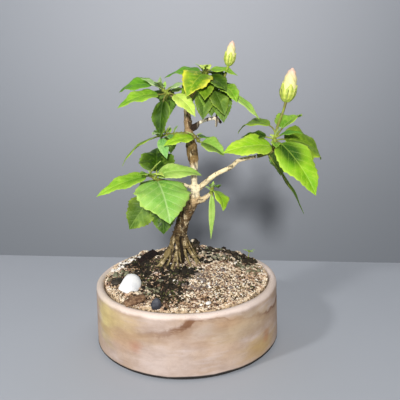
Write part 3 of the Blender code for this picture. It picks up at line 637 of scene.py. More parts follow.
buildSoil()
scatterGrit()
scatterStones()
strawFibres()
print("soil and grit done")


# ---- trunk, surface roots and boughs

tree = {
    "trunk": ((-5.0, 14.0, 56.0, 8.6), (-4.2, 14.0, 86.0, 6.9), (-2.2, 14.0, 99.0, 5.9),
              (3.8, 14.0, 112.0, 6.2), (9.6, 14.0, 123.0, 4.6), (9.2, 14.0, 136.0, 3.0),
              (9.6, 14.5, 150.0, 3.6), (8.4, 15.0, 163.0, 5.1), (6.6, 15.5, 176.0, 3.7),
              (5.3, 16.0, 189.0, 3.4), (6.6, 16.0, 206.0, 2.3), (20.5, 16.0, 226.0, 1.5)),
    "bough_right": ((8.5, 14, 124, 2.6), (12, 14, 128.5, 2.9), (27, 12, 141.3, 2.4),
                    (42, 10, 148.8, 2.3), (48.5, 9, 154.3, 2.1), (64, 7, 158.0, 1.8)),
    "bough_short": ((6, 13.5, 115.5, 2.4), (13, 11.5, 119, 2.9), (18.5, 10, 121.6, 2.4),
                    (23, 9, 125.4, 1.8)),
    "bough_left": ((9, 13.8, 130, 1.8), (-4, 8, 136, 2.0), (-16, 1.5, 139.5, 1.7)),
    "bough_upper_left": ((6, 15.8, 202, 1.6), (-3, 12.5, 208.5, 1.7), (-9, 10.5, 212, 1.5)),
    # surface roots: turn at the trunk, turn at the soil, reach and girth, then one root's
    # shares of that reach, heights and radii
    "roots": ((236, 200, 24, 1.15), (214, 226, 19, 0.8), (254, 248, 22, 1.2),
              (248, 282, 15, 0.75), (284, 306, 19, 0.9), (302, 342, 22, 1.05),
              (346, 14, 21, 0.8), (32, 52, 20, 1.0), (82, 92, 17, 1.1), (122, 136, 19, 0.9),
              (176, 172, 21, 0.95)),
    "rootPath": ((0.16, 91.0, 1.1), (0.33, 84.5, 1.5), (0.44, 77.0, 1.45), (0.68, 68.0, 1.3),
                 (1.0, 58.5, 0.95)),
    "core": ((90.0, 6.2), (84.0, 4.7), (77.0, 3.8), (66.0, 3.6), (56.0, 3.6)),
    "forkFrom": 18, "forkOut": 0.75, "forkAside": 0.35, "sway": 0.9,
    "fineRoots": 7, "fineRadius": 0.5, "fineReach": (12, 20), "fineTop": (78, 90),
    "fineStart": 6.2, "fineFoot": 59.5, "fineSteps": 5,
    "collar": {"centre": (-4.1, 14), "radius": 7.1, "top": 90.6, "drop": 0.35, "girth": 0.9,
               "from": 186, "turn": 17, "steps": 9},
    "coarseBelow": 128, "ridges": (92, 118), "knob": (152, 174), "gapShadeTop": (91.5, 5),
    "voxel": 0.5, "smooth": 2,
    # colours of the bark from the soil up to the crown, and the heights they run between
    "bandsFrom": (0.058, 0.228),
    "bands": ((0.0, (150, 136, 94)), (0.12, (126, 108, 68)), (0.18, (88, 70, 44)),
              (0.30, (108, 86, 56)), (0.37, (216, 184, 138)), (0.40, (252, 238, 202)),
              (0.53, (252, 236, 200)), (0.57, (150, 120, 76)), (0.65, (116, 94, 54)),
              (0.69, (200, 170, 126)), (0.76, (150, 120, 86)), (0.82, (204, 172, 126)),
              (1.0, (146, 148, 72))),
    "paleness": {"bough_right": 0.85, "bough_short": 0.6, "bough_left": 0.35,
                 "bough_upper_left": 0.1},
    # raised rings where leaves stood: height, raise, half height
    "rings": ((94, 0.35, 1.2), (104, 0.3, 1.2), (117, 0.3, 1.2), (131, 0.35, 1.2), (143, 0.3, 1.2),
              (156, 0.5, 2.0), (168, 0.45, 2.0), (181, 0.5, 1.6), (189, 0.5, 1.2),
              (198, 0.4, 1.0), (207, 0.3, 0.9), (216, 0.25, 0.8)),
    "deadBough": ((6, 15.8, 182.5, 2.6), (10.9, 15, 184.1, 3.0), (14.9, 14, 187.5, 1.4),
                  (22.7, 13, 190.5, 1.3), (30, 12, 191.1, 1.4), (34.2, 12, 187.1, 0.9)),
    "deadJoints": (14.5, 22.4, 30.1),  # x of the swollen joints
    "splinters": {"count": 5, "from": (32.2, 12, 189, 0.7), "to": (33.0, 12, 187.8), "end": 0.25},
    "deadTwigs": (((29.6, 12, 191, 1.0), (29.8, 11, 187.5, 0.9), (29.2, 11.5, 184.3, 0.7)),
                  ((29.8, 12, 191, 0.9), (30.8, 13, 195, 0.8), (29.6, 13.5, 199, 0.7),
                   (30.4, 14, 205, 0.5))),
}
boughNames = ("bough_right", "bough_short", "bough_left", "bough_upper_left")
limbs = {name: smoothSpine(tree[name], 3) for name in ("trunk", *boughNames)}
limbs["bough_dead"] = smoothSpine(tree["deadBough"], 2)


def barkFinish():
    coat = Finish("bonsai_bark", None, 0.85, 0.25)
    wander = coat.calc("MULTIPLY_ADD", coat.noise(90, 3), 0.02, -0.01)
    share = coat.fade(coat.calc("ADD", coat.axes()["Z"], wander), *tree["bandsFrom"])
    share.node.interpolation_type = "LINEAR"
    coat.colour = coat.ramp(share, [(at, paint(*tone)) for at, tone in tree["bands"]])[0]
    coat.lay(coat.mark(), paint(244, 224, 180))
    flaky = coat.cloud(paint(222, 202, 162), (330, 5, 0.65, (1, 1, 0.45)),
                       (0.54, 0.64, 0.0, 0.85))
    dark = coat.fade(coat.noise(300, 4, 0.65, (0.4, 0.4, 2.2)), 0.5, 0.62, 0.0, 0.75)
    coat.lay(coat.times(dark, coat.fade(share, 0.36, 0.42, 1.0, 0.35)), paint(66, 46, 28))
    cracks = coat.times(coat.fade(coat.noise(420, 4, 0.55, (1, 1, 0.3)), 0.46, 0.36), 0.8)
    coat.lay(cracks, paint(48, 36, 24))
    coat.cloud(paint(232, 216, 184), (520, 2, 0.55, (1, 1, 3.2)), (0.66, 0.74, 0.0, 0.6))
    # painted shade in the gaps between the roots, low on the trunk
    coat.lay(coat.mark("rootGapShade"), paint(42, 33, 22))
    return coat.done(coat.calc("SUBTRACT", flaky, cracks), 0.7, 0.6)


def voxelSkin(made, voxel, smooth):  # one closed skin over tubes that run into each other
    takeOnly(made)
    skin = made.modifiers.new("skin", "REMESH")
    skin.mode, skin.voxel_size = "VOXEL", voxel * mm
    bpy.ops.object.modifier_apply(modifier=skin.name)
    soft = made.modifiers.new("soft", "SMOOTH")
    soft.factor, soft.iterations = 0.5, smooth
    bpy.ops.object.modifier_apply(modifier=soft.name)


def meshArrays(made):
    count = len(made.data.vertices)
    places, normals = np.empty(count * 3), np.empty(count * 3)
    made.data.vertices.foreach_get("co", places)
    made.data.vertices.foreach_get("normal", normals)
    return places.reshape(-1, 3) / mm, normals.reshape(-1, 3)


def rootTubes(heap):
    rng = random.Random(11)
    foot = Vector(tree["trunk"][0][:2])
    for leaves, lands, reach, girth in tree["roots"]:
        swing = (lands - leaves + 180) % 360 - 180
        rows = []
        for share, height, radius in tree["rootPath"]:
            angle = math.radians(leaves + swing * share)
            sway = Vector((rng.uniform(-1, 1), rng.uniform(-1, 1))) * tree["sway"] * share
            spot = foot + reach * share * Vector((math.cos(angle), math.sin(angle))) + sway
            rows.append((*spot, height, radius * girth * rng.uniform(0.85, 1.15)))
        spine = smoothSpine(rows, 4)
        heap.add(*tube(spine, 10))
        if reach > tree["forkFrom"]:  # some part into two before they reach the soil
            fork = spine[9]
            tip = fork.xy + (fork.xy - foot) * tree["forkOut"]
            aside = rng.choice((-tree["forkAside"], tree["forkAside"]))
            tip += Vector((foot.y - fork.y, fork.x - foot.x)) * aside
            heap.add(*tube([fork, Vector((*fork.xy.lerp(tip, 0.55), 65.0, 0.95)),
                            Vector((*tip, 58.6, 0.6))], 8))
    for number in range(tree["fineRoots"]):  # thinner roots between the main ones
        turn = math.tau * (number + rng.uniform(-0.3, 0.3)) / tree["fineRoots"]
        reach, twist = rng.uniform(*tree["fineReach"]), rng.uniform(-0.5, 0.5)
        top, start = rng.uniform(*tree["fineTop"]), tree["fineStart"]
        rows = []
        for step in range(tree["fineSteps"] + 1):
            share = step / tree["fineSteps"]
            away = start + (reach - start) * share ** 1.4
            angle = turn + twist * share + rng.uniform(-0.05, 0.05)
            rows.append((foot.x + away * math.cos(angle), foot.y + away * math.sin(angle),
                         top + (tree["fineFoot"] - top) * share,
                         tree["fineRadius"] * (1 - 0.35 * share)))
        heap.add(*tube(smoothSpine(rows, 3), 8))


def collarRoot(heap):  # the pale root that wraps the trunk above the others
    rule, rows = tree["collar"], []
    for step in range(rule["steps"]):
        angle = math.radians(rule["from"] + rule["turn"] * step)
        rows.append((rule["centre"][0] + rule["radius"] * math.cos(angle),
                     rule["centre"][1] + rule["radius"] * math.sin(angle),
                     rule["top"] - rule["drop"] * step, rule["girth"]))
    heap.add(*tube(smoothSpine(rows, 2), 8))


def awayFrom(places, spine):  # distance from every place to a limb's round surface
    rows = np.array([tuple(row) for row in spine])
    return np.min(np.linalg.norm(places[:, None] - rows[None, :, :3], axis=2)
                  - rows[None, :, 3], axis=1)


def barkShift(place, fromTrunk, bough):  # how far the bark stands out at one place
    x, y, z = place
    rough = 0.45 if z < tree["coarseBelow"] else 0.28
    rough *= 1.25 if tree["knob"][0] < z < tree["knob"][1] and fromTrunk < 1 else 1.0
    if bough:
        rough = 0.3 if bough == "bough_short" else 0.16
    shift = rough * (lumpy((x, y, z * 0.55), 2.6, 3) + 0.5 * lumpy((x, y, z), 1.3, 8) - 0.3)
    low, high = tree["ridges"]  # tilted ridges round the lower trunk
    if low < z < high and not bough:
        shift += 0.6 * lumpy((x * 0.3, y * 0.3, z - 0.3 * x), 1.5, 12)
    if bough == "bough_short":  # curling, peeling rings
        shift += 0.9 * max(0.0, lumpy((x, y * 0.4, z * 0.4), 1.1, 4)) + 0.2
    if fromTrunk < 1.0:
        for height, raised, half in tree["rings"]:
            shift += raised * max(0.0, 1 - ((z - height - 0.5 * lumpy(place, 6)) / half) ** 2)
    elif bough:
        shift += 0.45 * max(0.0, lumpy((x, 0, 0), 2.2, 6)) - 0.3
    return shift


def buildTree():
    heap = Heap()
    foot = tree["trunk"][0]
    core = [(foot[0] + 0.0265 * (z - foot[2]), foot[1], z, r) for z, r in tree["core"][::-1]]
    trunk = smoothSpine(core + list(tree["trunk"][2:]), 8)
    boughs = {name: smoothSpine(tree[name], 6) for name in boughNames}
    heap.add(*tube(trunk, 24))
    for spine in boughs.values():
        heap.add(*tube(spine, 14))
    rootTubes(heap)
    collarRoot(heap)
    made = heap.make("trunk_and_boughs", [barkFinish()])
    voxelSkin(made, tree["voxel"], tree["smooth"])
    places, normals = meshArrays(made)
    fromTrunk = awayFrom(places, trunk)
    nearest = {name: awayFrom(places, spine) for name, spine in boughs.items()}
    marks, shifts, rootGapShade = [], [], []
    gapShadeTop, over = tree["gapShadeTop"]  # painted shade: the gaps between the roots are darkened below this height
    for i, place in enumerate(places):
        name = min(nearest, key=lambda n: nearest[n][i])
        bough = name if fromTrunk[i] > 0.9 and nearest[name][i] < 0.8 else None
        marks.append(tree["paleness"][name] * min(1.0, fromTrunk[i] / 3) if bough else 0.0)
        shifts.append(barkShift(place, fromTrunk[i], bough))
        rootGapShade.append(clamp((gapShadeTop - place[2]) / over) * clamp(1.6 - fromTrunk[i]))
    places = places + normals * np.array(shifts)[:, None]
    made.data.vertices.foreach_set("co", (places * mm).ravel())
    giveLayer(made.data, "mark", marks)
    giveLayer(made.data, "rootGapShade", rootGapShade)
    made.data.shade_smooth()
    settle(made, "bark", "trunk", *boughNames)


def deadFinish():
    coat = Finish("dead_grey_wood", paint(74, 58, 46), 0.92, 0.2)
    along = coat.axes()["X"]
    bands = coat.calc("PINGPONG", coat.calc("SUBTRACT", along, 0.0145), 0.0039)
    coat.lay(coat.fade(bands, 0.0, 0.0014), paint(240, 226, 200))
    coat.colour = coat.mix(coat.fade(along, 0.0125, 0.016), paint(52, 40, 32), coat.colour)
    coat.lay(coat.fade(along, 0.031, 0.0325), paint(58, 44, 36))
    fine = coat.cloud(paint(90, 74, 60), (900, 3, 0.55, (0.5, 1, 1)), (0.5, 0.7, 0.0, 0.6))
    return coat.done(fine, 0.6, 0.3)


def buildDeadBough():
    heap = Heap()
    heap.add(*tube(smoothSpine(tree["deadBough"], 6), 14))
    for rows in tree["deadTwigs"]:
        heap.add(*tube(smoothSpine(rows, 4), 8))
    rng = random.Random(3)
    rule = tree["splinters"]
    for _ in range(rule["count"]):  # splinters at the broken end
        tip = Vector(rule["to"]) + Vector([rng.uniform(-1.0, 1.0) for _ in range(3)])
        heap.add(*tube([Vector(rule["from"]), Vector((*tip, rule["end"]))], 6))
    made = heap.make("dead_bough", [deadFinish()])
    voxelSkin(made, 0.4, 1)
    places, normals = meshArrays(made)
    shifts = []
    for place in places:
        gap = min(abs(joint - place[0]) for joint in tree["deadJoints"])
        shifts.append(0.25 * lumpy(place, 1.6, 4) + 0.3 * max(0.0, 1 - (gap / 0.9) ** 2))
    places = places + normals * (np.array(shifts) + 0.1)[:, None]
    made.data.vertices.foreach_set("co", (places * mm).ravel())
    made.data.shade_smooth()
    settle(made, "dead_wood", "bough_dead")


buildTree()
buildDeadBough()
print("trunk and boughs done")


# ---- foliage: the solid's own rule, with finer leaves, stalks and buds

# one leaf: look, place on the stem, turn, rise, stalk, stalk's extra rise, length, width,
# droop, roll and fold, as in the solid
foliage = {
    "foliage_upper_left": {
        "from": "bough_upper_left",
        "stem": ((-13, 9, 214.5, 1.3), (-17.5, 8, 218.5, 0.9)),
        "leaves": (
            ("mid", 0.6, 166, 12, 11, 30, 36, 19, 52, 35, 14),
            ("fresh", 0.3, 205, 6, 8, -30, 37, 20, 50, 25, 14),
            ("dark", 0.2, 235, -68, 9, 50, 31, 19, 20, 0, 14),
            ("dark", 0.6, 93, -6, 4, 10, 25, 20, 40, 0, 14),
            ("lime", 0.2, 312, -18, 9, 20, 28, 16, 50, -20, 14),
            ("silver", 0.25, 190, 38, 5, 10, 20, 11, 25, 25, 14),
            ("silver", 1.0, 292, 78, 1, 0, 8, 4, 10, 0, 14),
        ),
        "extra": (
            ("silver", 0.4, 330, 26, 5, 10, 19, 11, 30, -25, 14),
            ("silver", 0.7, 252, 30, 4, 10, 15, 9, 30, 10, 14),
            ("pale", 0.2, 20, 18, 4, 10, 16, 9, 35, -20, 14),
        ),
        "back": (
            ("mid", 0.4, 84, -32, 6, 20, 25, 16, 30, 0, 14),
            ("muted", 0.1, 122, -52, 7, 20, 24, 15, 25, 8, 14),
        ),
        "young": 3, "seed": 3, "space": ((-18, 10, 208), (38, 34, 36)),
    },
    "foliage_crown": {
        "from": "trunk",
        "stem": ((21.3, 15.9, 228.5, 1.3), (22.2, 15.5, 231.5, 0.9)),
        "leaves": (
            ("mid", 0.6, 166, 11, 5, 10, 34, 19, 40, 20, 14),
            ("yellowEdge", 0.4, 246, -8, 5, 15, 33, 27, 55, 18, 18),
            ("muted", 0.5, 48, 10, 6, 0, 23, 17, 50, 0, 14),
            ("muted", 0.3, 285, -66, 10, 30, 28, 20, 12, 0, 10),
            ("muted", 0.5, 110, -4, 6, 20, 28, 18, 50, 0, 14),
        ),
        "extra": (
            ("dark", 0.2, 300, -14, 6, 20, 26, 18, 30, -15, 14),
            ("fresh", 0.9, 345, 8, 4, 5, 24, 15, 45, -20, 14),
            ("olive", 0.1, 215, -22, 6, 20, 24, 15, 40, 22, 14),
            ("olive", 0.0, 268, -30, 5, 20, 26, 17, 25, 6, 14),
        ),
        "back": (
            ("muted", 0.3, 92, -20, 6, 15, 27, 18, 40, 0, 14),
            ("shadedLeaf", 0.6, 68, -34, 6, 20, 25, 16, 30, 10, 14),
            ("mid", 0.2, 122, -38, 6, 20, 25, 16, 30, -10, 14),
        ),
        "young": 3, "seed": 24, "space": ((18, 14, 222), (42, 36, 36)),
    },
    "foliage_upper_right": {
        "from": None,
        "stem": ((14, 16, 217, 1.4), (24, 14.5, 217.5, 1.5), (31, 13.5, 218.5, 1.2),
                 (36, 13, 221, 0.9)),
        "leaves": (
            ("muted", 0.82, 277, -62, 9, 50, 27, 18, 20, -10, 10),
            ("fresh", 0.86, 300, -9, 5, -10, 23, 17, 60, -10, 18),
            ("pale", 0.9, 344, -33, 15, -14, 30, 10, 25, -30, 14),
            ("muted", 0.8, 75, 5, 6, 20, 26, 17, 50, 0, 14),
        ),
        "extra": (
            ("shadedLeaf", 0.55, 292, -40, 7, 30, 26, 17, 25, -12, 14),
            ("shadedLeaf", 0.3, 262, -50, 8, 30, 25, 16, 20, 8, 14),
            ("fresh", 0.5, 40, 14, 4, 10, 20, 12, 45, 0, 14),
        ),
        "back": (
            ("mid", 0.5, 86, -34, 6, 15, 26, 17, 35, 0, 14),
            ("shadedLeaf", 0.8, 108, -52, 7, 20, 24, 15, 25, 0, 14),
        ),
        "bud": {"twig": ((35.5, 13, 220.5, 1.2), (38.5, 12, 229, 1.1), (40.8, 11, 235.5, 1.2)),
                "tip": (44.4, 11, 254.6), "width": 8.4},
        "young": 2, "seed": 8, "space": ((44, 14, 212), (34, 34, 46)),
    },
    "foliage_middle_left": {
        "from": None,
        "stem": ((6.4, 15.5, 179, 1.3), (-8, 15, 178.5, 1.2), (-20, 9, 177.5, 0.9)),
        "leaves": (
            ("bluish", 0.95, 290, -50, 3, 20, 19, 10, 30, -20, 14),
            ("olive", 1.0, 190, -14, 4, 0, 38, 11, 50, 0, 10),
            ("mid", 0.7, 110, 10, 5, 15, 26, 16, 45, 0, 14),
        ),
        "extra": (
            ("silver", 0.9, 250, 20, 4, 10, 15, 8, 35, 10, 14),
            ("bluish", 0.8, 330, -10, 3, 10, 14, 8, 35, -20, 14),
        ),
        "back": (
            ("mid", 0.6, 92, -28, 5, 10, 24, 14, 40, 0, 14),
        ),
        "young": 2, "seed": 2, "space": ((-22, 10, 172), (34, 32, 26)),
    },
    "foliage_middle_front": {
        "from": None,
        "stem": ((6.8, 15, 175, 1.3), (9.5, 8, 178, 1.2), (14.5, 9.5, 171.5, 0.9)),
        "leaves": (
            ("bright", 0.72, 207, 6, 3, 10, 28, 16, 40, 24, 14),
            ("halfShade", 1.0, 330, -8, 3, 10, 23, 20, 50, -25, 20),
            ("mid", 0.8, 50, 5, 5, 10, 24, 15, 50, -10, 14),
        ),
        "young": 1, "seed": 4, "space": ((16, 4, 168), (34, 26, 20)),
    },
    "foliage_left": {
        "from": "bough_left",
        "stem": ((-24, -2.5, 142.5, 1.3), (-29, -4.5, 146.5, 0.9)),
        "leaves": (
            ("fresh", 0.9, 202, -4, 4, 10, 45, 17, 35, 30, 14),
            ("veined", 0.55, 290, -20, 4, 10, 44, 48, 50, 0, 8),
            ("pale", 0.7, 356, 22, 4, 10, 41, 19, 62, -35, 14),
            ("dark", 0.5, 90, 48, 8, 0, 33, 32, 34, 0, 10),
            ("shadedLeaf", 0.3, 198, -48, 19, -22, 32, 28, 25, 55, 12),
            ("dark", 0.1, 266, -66, 20, -10, 26, 23, 20, 0, 12),
            ("lime", 1.0, 346, 51, 3, 10, 13, 5, 10, 0, 14),
            ("mid", 0.5, 108, -25, 9, 20, 32, 22, 40, 0, 14),
        ),
        "extra": (
            ("fresh", 0.9, 250, 22, 4, 10, 16, 9, 30, 15, 14),
        ),
        "back": (
            ("mid", 0.6, 82, -26, 7, 10, 30, 20, 40, 0, 14),
            ("shadedLeaf", 0.2, 98, -50, 8, 20, 28, 18, 30, 0, 14),
        ),
        "young": 2, "seed": 6, "space": ((-30, 2, 134), (50, 44, 46)),
    },
    "foliage_right": {
        "from": "bough_right",
        "stem": ((73, 6, 160.5, 1.6), (78.8, 6, 164, 1.5), (79.8, 6, 174, 1.3)),
        "leaves": (
            ("fresh", 0.95, 47, 30, 14, 10, 33, 28, 30, 0, 34),
            ("olive", 1.0, 150, 25, 12, 78, 38, 17, 82, 20, 14),
            ("bright", 0.7, 199, 11, 3, 0, 44, 27, 42, 36, 14),
            ("dark", 0.95, 160, 13, 8, 0, 23, 13, 35, 30, 14),
            ("darkHeart", 0.85, 306, -31, 7, 50, 55, 34, 40, -18, 14),
            ("olive", 0.9, 13, -5, 9, 18, 54, 36, 54, -40, 14),
            ("dark", 0.35, 6, -53, 7, 0, 59, 14, 12, 0, 12),
        ),
        "extra": (
            ("fresh", 0.8, 265, 10, 3, 10, 18, 9, 35, 10, 14),
            ("mid", 0.98, 330, 24, 5, 10, 20, 11, 40, -15, 14),
        ),
        "back": (
            ("mid", 0.6, 62, -34, 7, 10, 30, 19, 40, 0, 14),
        ),
        "bud": {"twig": ((79.7, 6, 173, 1.4), (82.3, 6, 184.6, 1.2), (86.6, 6, 196, 1.1),
                         (88.9, 6, 204.5, 1.3)),
                "tip": (94.1, 6, 231.4), "width": 12.6},
        "young": 3, "seed": 7, "space": ((80, 6, 168), (58, 44, 66)),
    },
    "foliage_low": {
        "from": "bough_short",
        "stem": ((25.3, 9, 131.6, 0.8),),
        "leaves": (
            ("bright", 0.5, 308, -6, 3, 20, 24, 20, 75, 20, 14),
            ("pale", 0.9, 262, -76, 8, 70, 39, 6, 10, 20, 14),
            ("mid", 0.7, 70, 10, 4, 20, 18, 11, 50, 0, 14),
        ),
        "young": 1, "seed": 9, "space": ((26, 8, 112), (18, 18, 30)),
    },
}

leafRule = {
    "stalk": 0.7, "root": 1.8, "point": 0.5, "thick": 0.42, "cup": 0.16, "bulge": (0.55, 1.05),
    "straight": 1.6, "clear": 0.35, "teeth": 10, "toothRows": 4, "toothDepth": 0.05,
    "columns": 18, "wave": 0.06, "quilt": 0.03, "veins": 6, "veinLean": 0.36,
}
youngRule = {"gap": 3.5, "spacing": 0.22, "golden": 137.5, "length": (11.0, 17.0),
             "shape": (0.45, 0.6), "rise": (15.0, 50.0), "stalk": (2.0, 4.0),
             "droop": (25.0, 60.0)}
fineRule = {"tries": 9, "length": (5.0, 10.0), "shape": (0.4, 0.55), "rise": (20, 75),
            "gap": 2.0, "scale": 2.6}

# colours of one kind of leaf: upper face, its shadier tone, veins, edge and underside
leafTones = {
    "bright": ((174, 212, 46), (130, 184, 24), (204, 226, 112), (190, 216, 78), (172, 204, 92)),
    "fresh": ((146, 194, 46), (98, 154, 24), (190, 216, 104), (176, 208, 76), (160, 194, 90)),
    "mid": ((104, 164, 32), (66, 124, 16), (146, 188, 70), (134, 178, 52), (134, 170, 76)),
    # painted shade: a darker copy for leaves that lie in shade
    "dark": ((56, 90, 10), (30, 58, 5), (100, 138, 36), (126, 160, 52), (100, 132, 44)),
    "muted": ((98, 130, 40), (66, 94, 24), (136, 162, 80), (124, 160, 50), (110, 142, 56)),
    "olive": ((134, 172, 36), (86, 124, 16), (166, 194, 74), (172, 200, 62), (142, 170, 70)),
    "pale": ((178, 212, 102), (142, 190, 70), (210, 230, 150), (202, 224, 128), (190, 216, 134)),
    "lime": ((214, 236, 114), (188, 220, 86), (222, 236, 144), (214, 230, 116), (196, 218, 116)),
    "silver": ((170, 200, 134), (132, 172, 92), (200, 220, 168), (190, 212, 146), (176, 198, 142)),
    "bluish": ((132, 188, 100), (92, 156, 66), (184, 216, 146), (168, 206, 118), (154, 190, 116)),
    "veined": ((150, 198, 94), (116, 176, 64), (206, 228, 164), (176, 210, 96), (154, 194, 106)),
    "yellowEdge": ((140, 182, 36), (84, 132, 18), (186, 206, 76), (226, 222, 66), (164, 190, 74)),
    "darkHeart": ((152, 200, 36), (112, 172, 20), (184, 216, 86), (180, 212, 66), (158, 194, 80)),
    # painted shade: a darker copy for leaves that lie in shade
    "shadedLeaf": ((108, 140, 58), (72, 104, 26), (150, 180, 92), (150, 176, 62), (130, 160, 70)),
    "halfShade": ((154, 196, 86), (118, 168, 50), (190, 216, 120),
                  (180, 210, 100), (156, 188, 94)),
}
leafLooks = {name: dict(zip(("face", "shade", "vein", "edge", "under"),
                            [paint(*tone) for tone in tones]))
             for name, tones in leafTones.items()}
leafLooks["veined"]["lines"] = 0.38  # how strongly the veins show
leafLooks["yellowEdge"]["edgeFrom"] = 0.68  # where the edge's colour starts; wide here, a painted highlight along the lit edge
leafLooks["darkHeart"]["heart"] = paint(30, 74, 16)  # painted shade: a dark middle
leafLooks["shadedLeaf"]["half"] = paint(64, 94, 18)  # painted shade: one half darker
leafLooks["halfShade"]["half"] = paint(70, 100, 20)


def veinRows(coat):  # across, along, distance from the rib, and steps along the side veins
    parts = coat.axes(coat.blade())
    off = coat.calc("ABSOLUTE", coat.calc("MULTIPLY_ADD", parts["X"], 2.0, -1.0))
    lean = coat.times(coat.calc("POWER", off, 0.85), leafRule["veinLean"])
    row = coat.times(coat.calc("SUBTRACT", parts["Y"], lean), leafRule["veins"])
    return parts["X"], parts["Y"], off, row


def leafFinish(name, look):
    coat = Finish("leaf_" + name, look["face"], 0.42, 0.22)
    across, along, off, row = veinRows(coat)
    wander = coat.calc("MULTIPLY_ADD", coat.noise(120, 2), 0.06, -0.03)
    fromVein = coat.calc("PINGPONG", coat.calc("ADD", row, wander), 0.5)
    thin = coat.calc("MULTIPLY_ADD", off, -0.045, 0.085)
    side = coat.fade(coat.calc("DIVIDE", fromVein, thin), 1.0, 0.15)
    web = coat.add("TexVoronoi", {"Vector": coat.place, "Scale": 620.0},
                   feature="DISTANCE_TO_EDGE").outputs["Distance"]
    net = coat.fade(web, 0.07, 0.0)
    coat.cloud(look["shade"], (85, 3), (0.32, 0.68))
    coat.lay(coat.fade(fromVein, 0.0, 0.5, 0.0, 0.3), look["shade"])
    coat.lay(coat.fade(coat.calc("ADD", along, wander), 0.6, 0.05, 0.0, 0.55),
             [0.72 * tone for tone in look["shade"][:3]] + [1.0])  # painted shade: darker at the stalk
    coat.cloud(look["edge"], (190, 4, 0.6), (0.52, 0.72, 0.0, 0.5))
    # painted shade: one half of the blade darker
    if "half" in look:
        half = coat.fade(coat.calc("ADD", across, wander), 0.44, 0.54, 0.0, 0.85)
        coat.lay(half, look["half"])
    # painted shade: a dark patch in the middle near the stalk
    if "heart" in look:
        reach = coat.times(coat.calc("SUBTRACT", along, 0.22), 2.5)
        far = coat.calc("SQRT", coat.calc("ADD", coat.calc("POWER", off, 2.0),
                                          coat.times(reach, reach)))
        coat.lay(coat.fade(far, 0.9, 0.3, 0.0, 0.95), look["heart"])
    edge = coat.mark()
    glow = coat.calc("ADD", edge, coat.times(wander, 6.0))
    coat.lay(coat.fade(glow, 0.3, 1.0, 0.0, 0.35), look["edge"])
    rim = coat.calc("ADD", edge, coat.times(wander, 3.0))
    coat.lay(coat.fade(rim, look.get("edgeFrom", 0.84), 1.0, 0.0, 0.9), look["edge"])
    coat.lay(coat.times(net, 0.16), look["vein"])
    lines = coat.calc("MAXIMUM", coat.times(side, 0.6), coat.fade(off, 0.05, 0.012))
    coat.lay(coat.times(lines, look.get("lines", 0.34)), look["vein"])
    groove = coat.calc("ADD", coat.times(lines, -1.0), coat.times(net, -0.3))
    return coat.done(groove, 0.5, 0.35, coat.fade(coat.noise(150), 0.3, 0.7, 0.36, 0.5))


def underFinish(name, look):
    coat = Finish("under_" + name, look["under"], 0.6, 0.3)
    off, row = veinRows(coat)[2:]
    veins = coat.fade(coat.calc("PINGPONG", row, 0.5), 0.1, 0.02, 0.0, 0.7)
    lines = coat.calc("MAXIMUM", coat.fade(off, 0.07, 0.02), veins)
    coat.cloud(look["shade"], (90,), (0.3, 0.7, 0.0, 0.5))
    coat.lay(lines, look["vein"])
    return coat.done(lines, 0.5, 0.4)


def twigFinish():
    coat = Finish("green_twig", paint(150, 168, 62), 0.6, 0.3)
    coat.cloud(paint(116, 112, 52), (140, 4), (0.35, 0.65))
    fine = coat.cloud(paint(196, 196, 128), (800, 3), (0.6, 0.75, 0.0, 0.5))
    return coat.done(fine, 0.4, 0.2)


def bladeWidth(t, width):
    rise, fall = leafRule["bulge"]
    peak = rise / (rise + fall)
    share = (t / peak) ** rise * ((1 - t) / (1 - peak)) ** fall
    return max(width * share, leafRule["root"] + (leafRule["point"] - leafRule["root"]) * t)


def leafAxes(turn, rise, roll):  # forward, side and upper face
    turn, rise, roll = (math.radians(angle) for angle in (turn, rise, roll))
    level = Vector((math.cos(turn), math.sin(turn), 0.0))
    forward = level * math.cos(rise) + Vector((0, 0, math.sin(rise)))
    side = Vector((level.y, -level.x, 0.0))
    face = side.cross(forward)
    return (forward, side * math.cos(roll) + face * math.sin(roll),
            face * math.cos(roll) - side * math.sin(roll))


def arch(start, forward, face, length, bend, t):
    bend = max(math.radians(bend), 0.001)
    angle = bend * t
    point = (start + forward * (length * math.sin(angle) / bend)
             - face * (length * (1 - math.cos(angle)) / bend))
    return point, face * math.cos(angle) + forward * math.sin(angle)


def stalkPath(node, turn, rise, stalk, lift, pieces=2):
    points = [node]
    for piece in range(pieces):
        slope = rise + lift * (1 - (piece + 0.5) / pieces)
        points.append(points[-1] + leafAxes(turn, slope, 0.0)[0] * (stalk / pieces))
    return points


def bladePoint(root, axes, row, across, t):
    length, width, droop, _, fold = row[5:]
    forward, side, face = axes
    centre, upper = arch(root, forward, face, length, droop, t)
    half = bladeWidth(t, width) / 2
    fold = math.radians(fold)
    raised = half * (abs(across) * math.sin(fold) - leafRule["cup"] * across ** 2)
    return centre + side * (half * across * math.cos(fold)) + upper * raised


def leafFrame(node, row):
    _, turn, rise, stalk, lift, _, _, _, roll, _ = row
    return stalkPath(node, turn, rise, stalk, lift), leafAxes(turn, rise, roll)


def leafTrace(node, row):
    path, axes = leafFrame(node, row)
    return path[1:] + [bladePoint(path[-1], axes, row, across, t)
                       for across in (-0.9, -0.45, 0.0, 0.45, 0.9)
                       for t in (0.15, 0.35, 0.55, 0.75, 1.0)]


